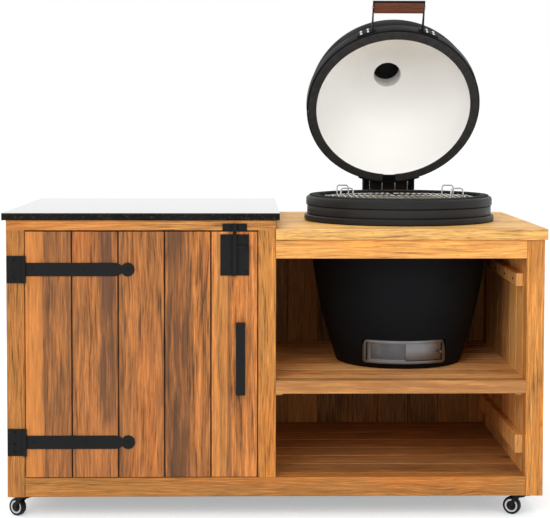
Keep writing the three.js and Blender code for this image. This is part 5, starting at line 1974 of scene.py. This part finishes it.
@dataclass(frozen=True)
class Studio:
    """The white room, its lights, and the photograph's camera, which was found from the table's edges.

    The picture's sizes are in pixels, the camera's place is in metres from the left front post's low
    corner and its turns are in radians.
    """

    focal_length: float = 1395.4
    picture_width: float = 550.0
    picture_middle: float = 259.0
    horizon_row: float = 183.08
    camera_place: tuple[float, float, float] = (0.6784, -3.8677, 1.1168)
    turn_left: float = -0.0174
    look_down: float = 0.0448
    roll: float = 0.0016
    sensor: float = 36.0
    floor_glow: float = 0.40
    room_light: float = 0.78

    def build(self) -> None:
        """Makes the room, the lights and the camera."""
        self.room()
        self.world()
        for lamp in LAMPS:
            lamp.build()
        self.camera()

    def room(self) -> None:
        """A pale floor, seen as white apart from the shade under the table."""
        with modelled("floor_sheet") as floor:
            bpy.ops.mesh.primitive_plane_add(size=60, location=(0, 0, 0))
        material = bpy.data.materials.new("pale_floor")
        material.use_nodes = True
        n = Nodes(material.node_tree)
        shader = material.node_tree.nodes["Principled BSDF"]
        tone = n.between(n.noise(n.add("TexCoord").outputs["Object"], 0.8, 2), 0.2, 0.8, 0.84, 0.88)
        n.feed(shader.inputs["Base Color"], n.vector(tone, tone, tone))
        shader.inputs["Roughness"].default_value = 0.9
        shader.inputs["Specular IOR Level"].default_value = 0.0
        shader.inputs["Emission Color"].default_value = (0.87, 0.96, 1.0, 1.0)
        n.feed(shader.inputs["Emission Strength"], n.times(self.seen(n), self.floor_glow))
        floor.data.materials.append(material)

    def seen(self, n: Nodes) -> Socket:
        """One for rays from the camera and for mirrored ones, nothing for the rest."""
        path = n.add("LightPath").outputs
        return n.math("MAXIMUM", path["Is Camera Ray"], path["Is Glossy Ray"])

    def world(self) -> None:
        """White to the eye and in mirrored light, and a soft grey light to the rest."""
        world = bpy.data.worlds.new("studio")
        bpy.context.scene.world = world
        world.use_nodes = True
        n = Nodes(world.node_tree)
        background = world.node_tree.nodes["Background"]
        background.inputs["Color"].default_value = (1.0, 1.0, 1.0, 1.0)
        n.feed(background.inputs["Strength"], n.between(self.seen(n), 0.0, 1.0, self.room_light, 1.0))
        bpy.context.scene.view_settings.view_transform = "Standard"

    def camera(self) -> None:
        """The photograph's camera."""
        low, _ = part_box("post_front_left")
        lens = bpy.data.cameras.new("camera")
        lens.sensor_width = self.sensor
        lens.lens = self.sensor * self.focal_length / self.picture_width
        lens.shift_y = (self.horizon_row - self.picture_middle) / self.picture_width
        lens.clip_end = 100.0
        camera = linked("camera", lens)
        x, y, height = self.camera_place
        camera.location = (low.x + x, low.y + y, height)
        level = Matrix.Rotation(math.pi / 2 - self.look_down, 3, "X")
        turn = Matrix.Rotation(self.turn_left, 3, "Z") @ level @ Matrix.Rotation(self.roll, 3, "Z")
        camera.rotation_euler = turn.to_euler()
        bpy.context.scene.camera = camera


def main() -> None:
    """Loads the frame, builds the studio, dresses the solids and makes the new pieces."""
    logging.basicConfig(level=logging.INFO, format="%(name)s: %(message)s")
    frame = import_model()
    Studio().build()
    Cabinet().dress(frame["nodes"])
    sizes = Kamado()
    for part in (KamadoBase(sizes), KamadoLid(sizes), HingeSprings(sizes), CookingGrates(sizes)):
        part.build()
    Casters().build(frame["joints"])
    DoorFittings().build()


if __name__ == "__main__":
    main()
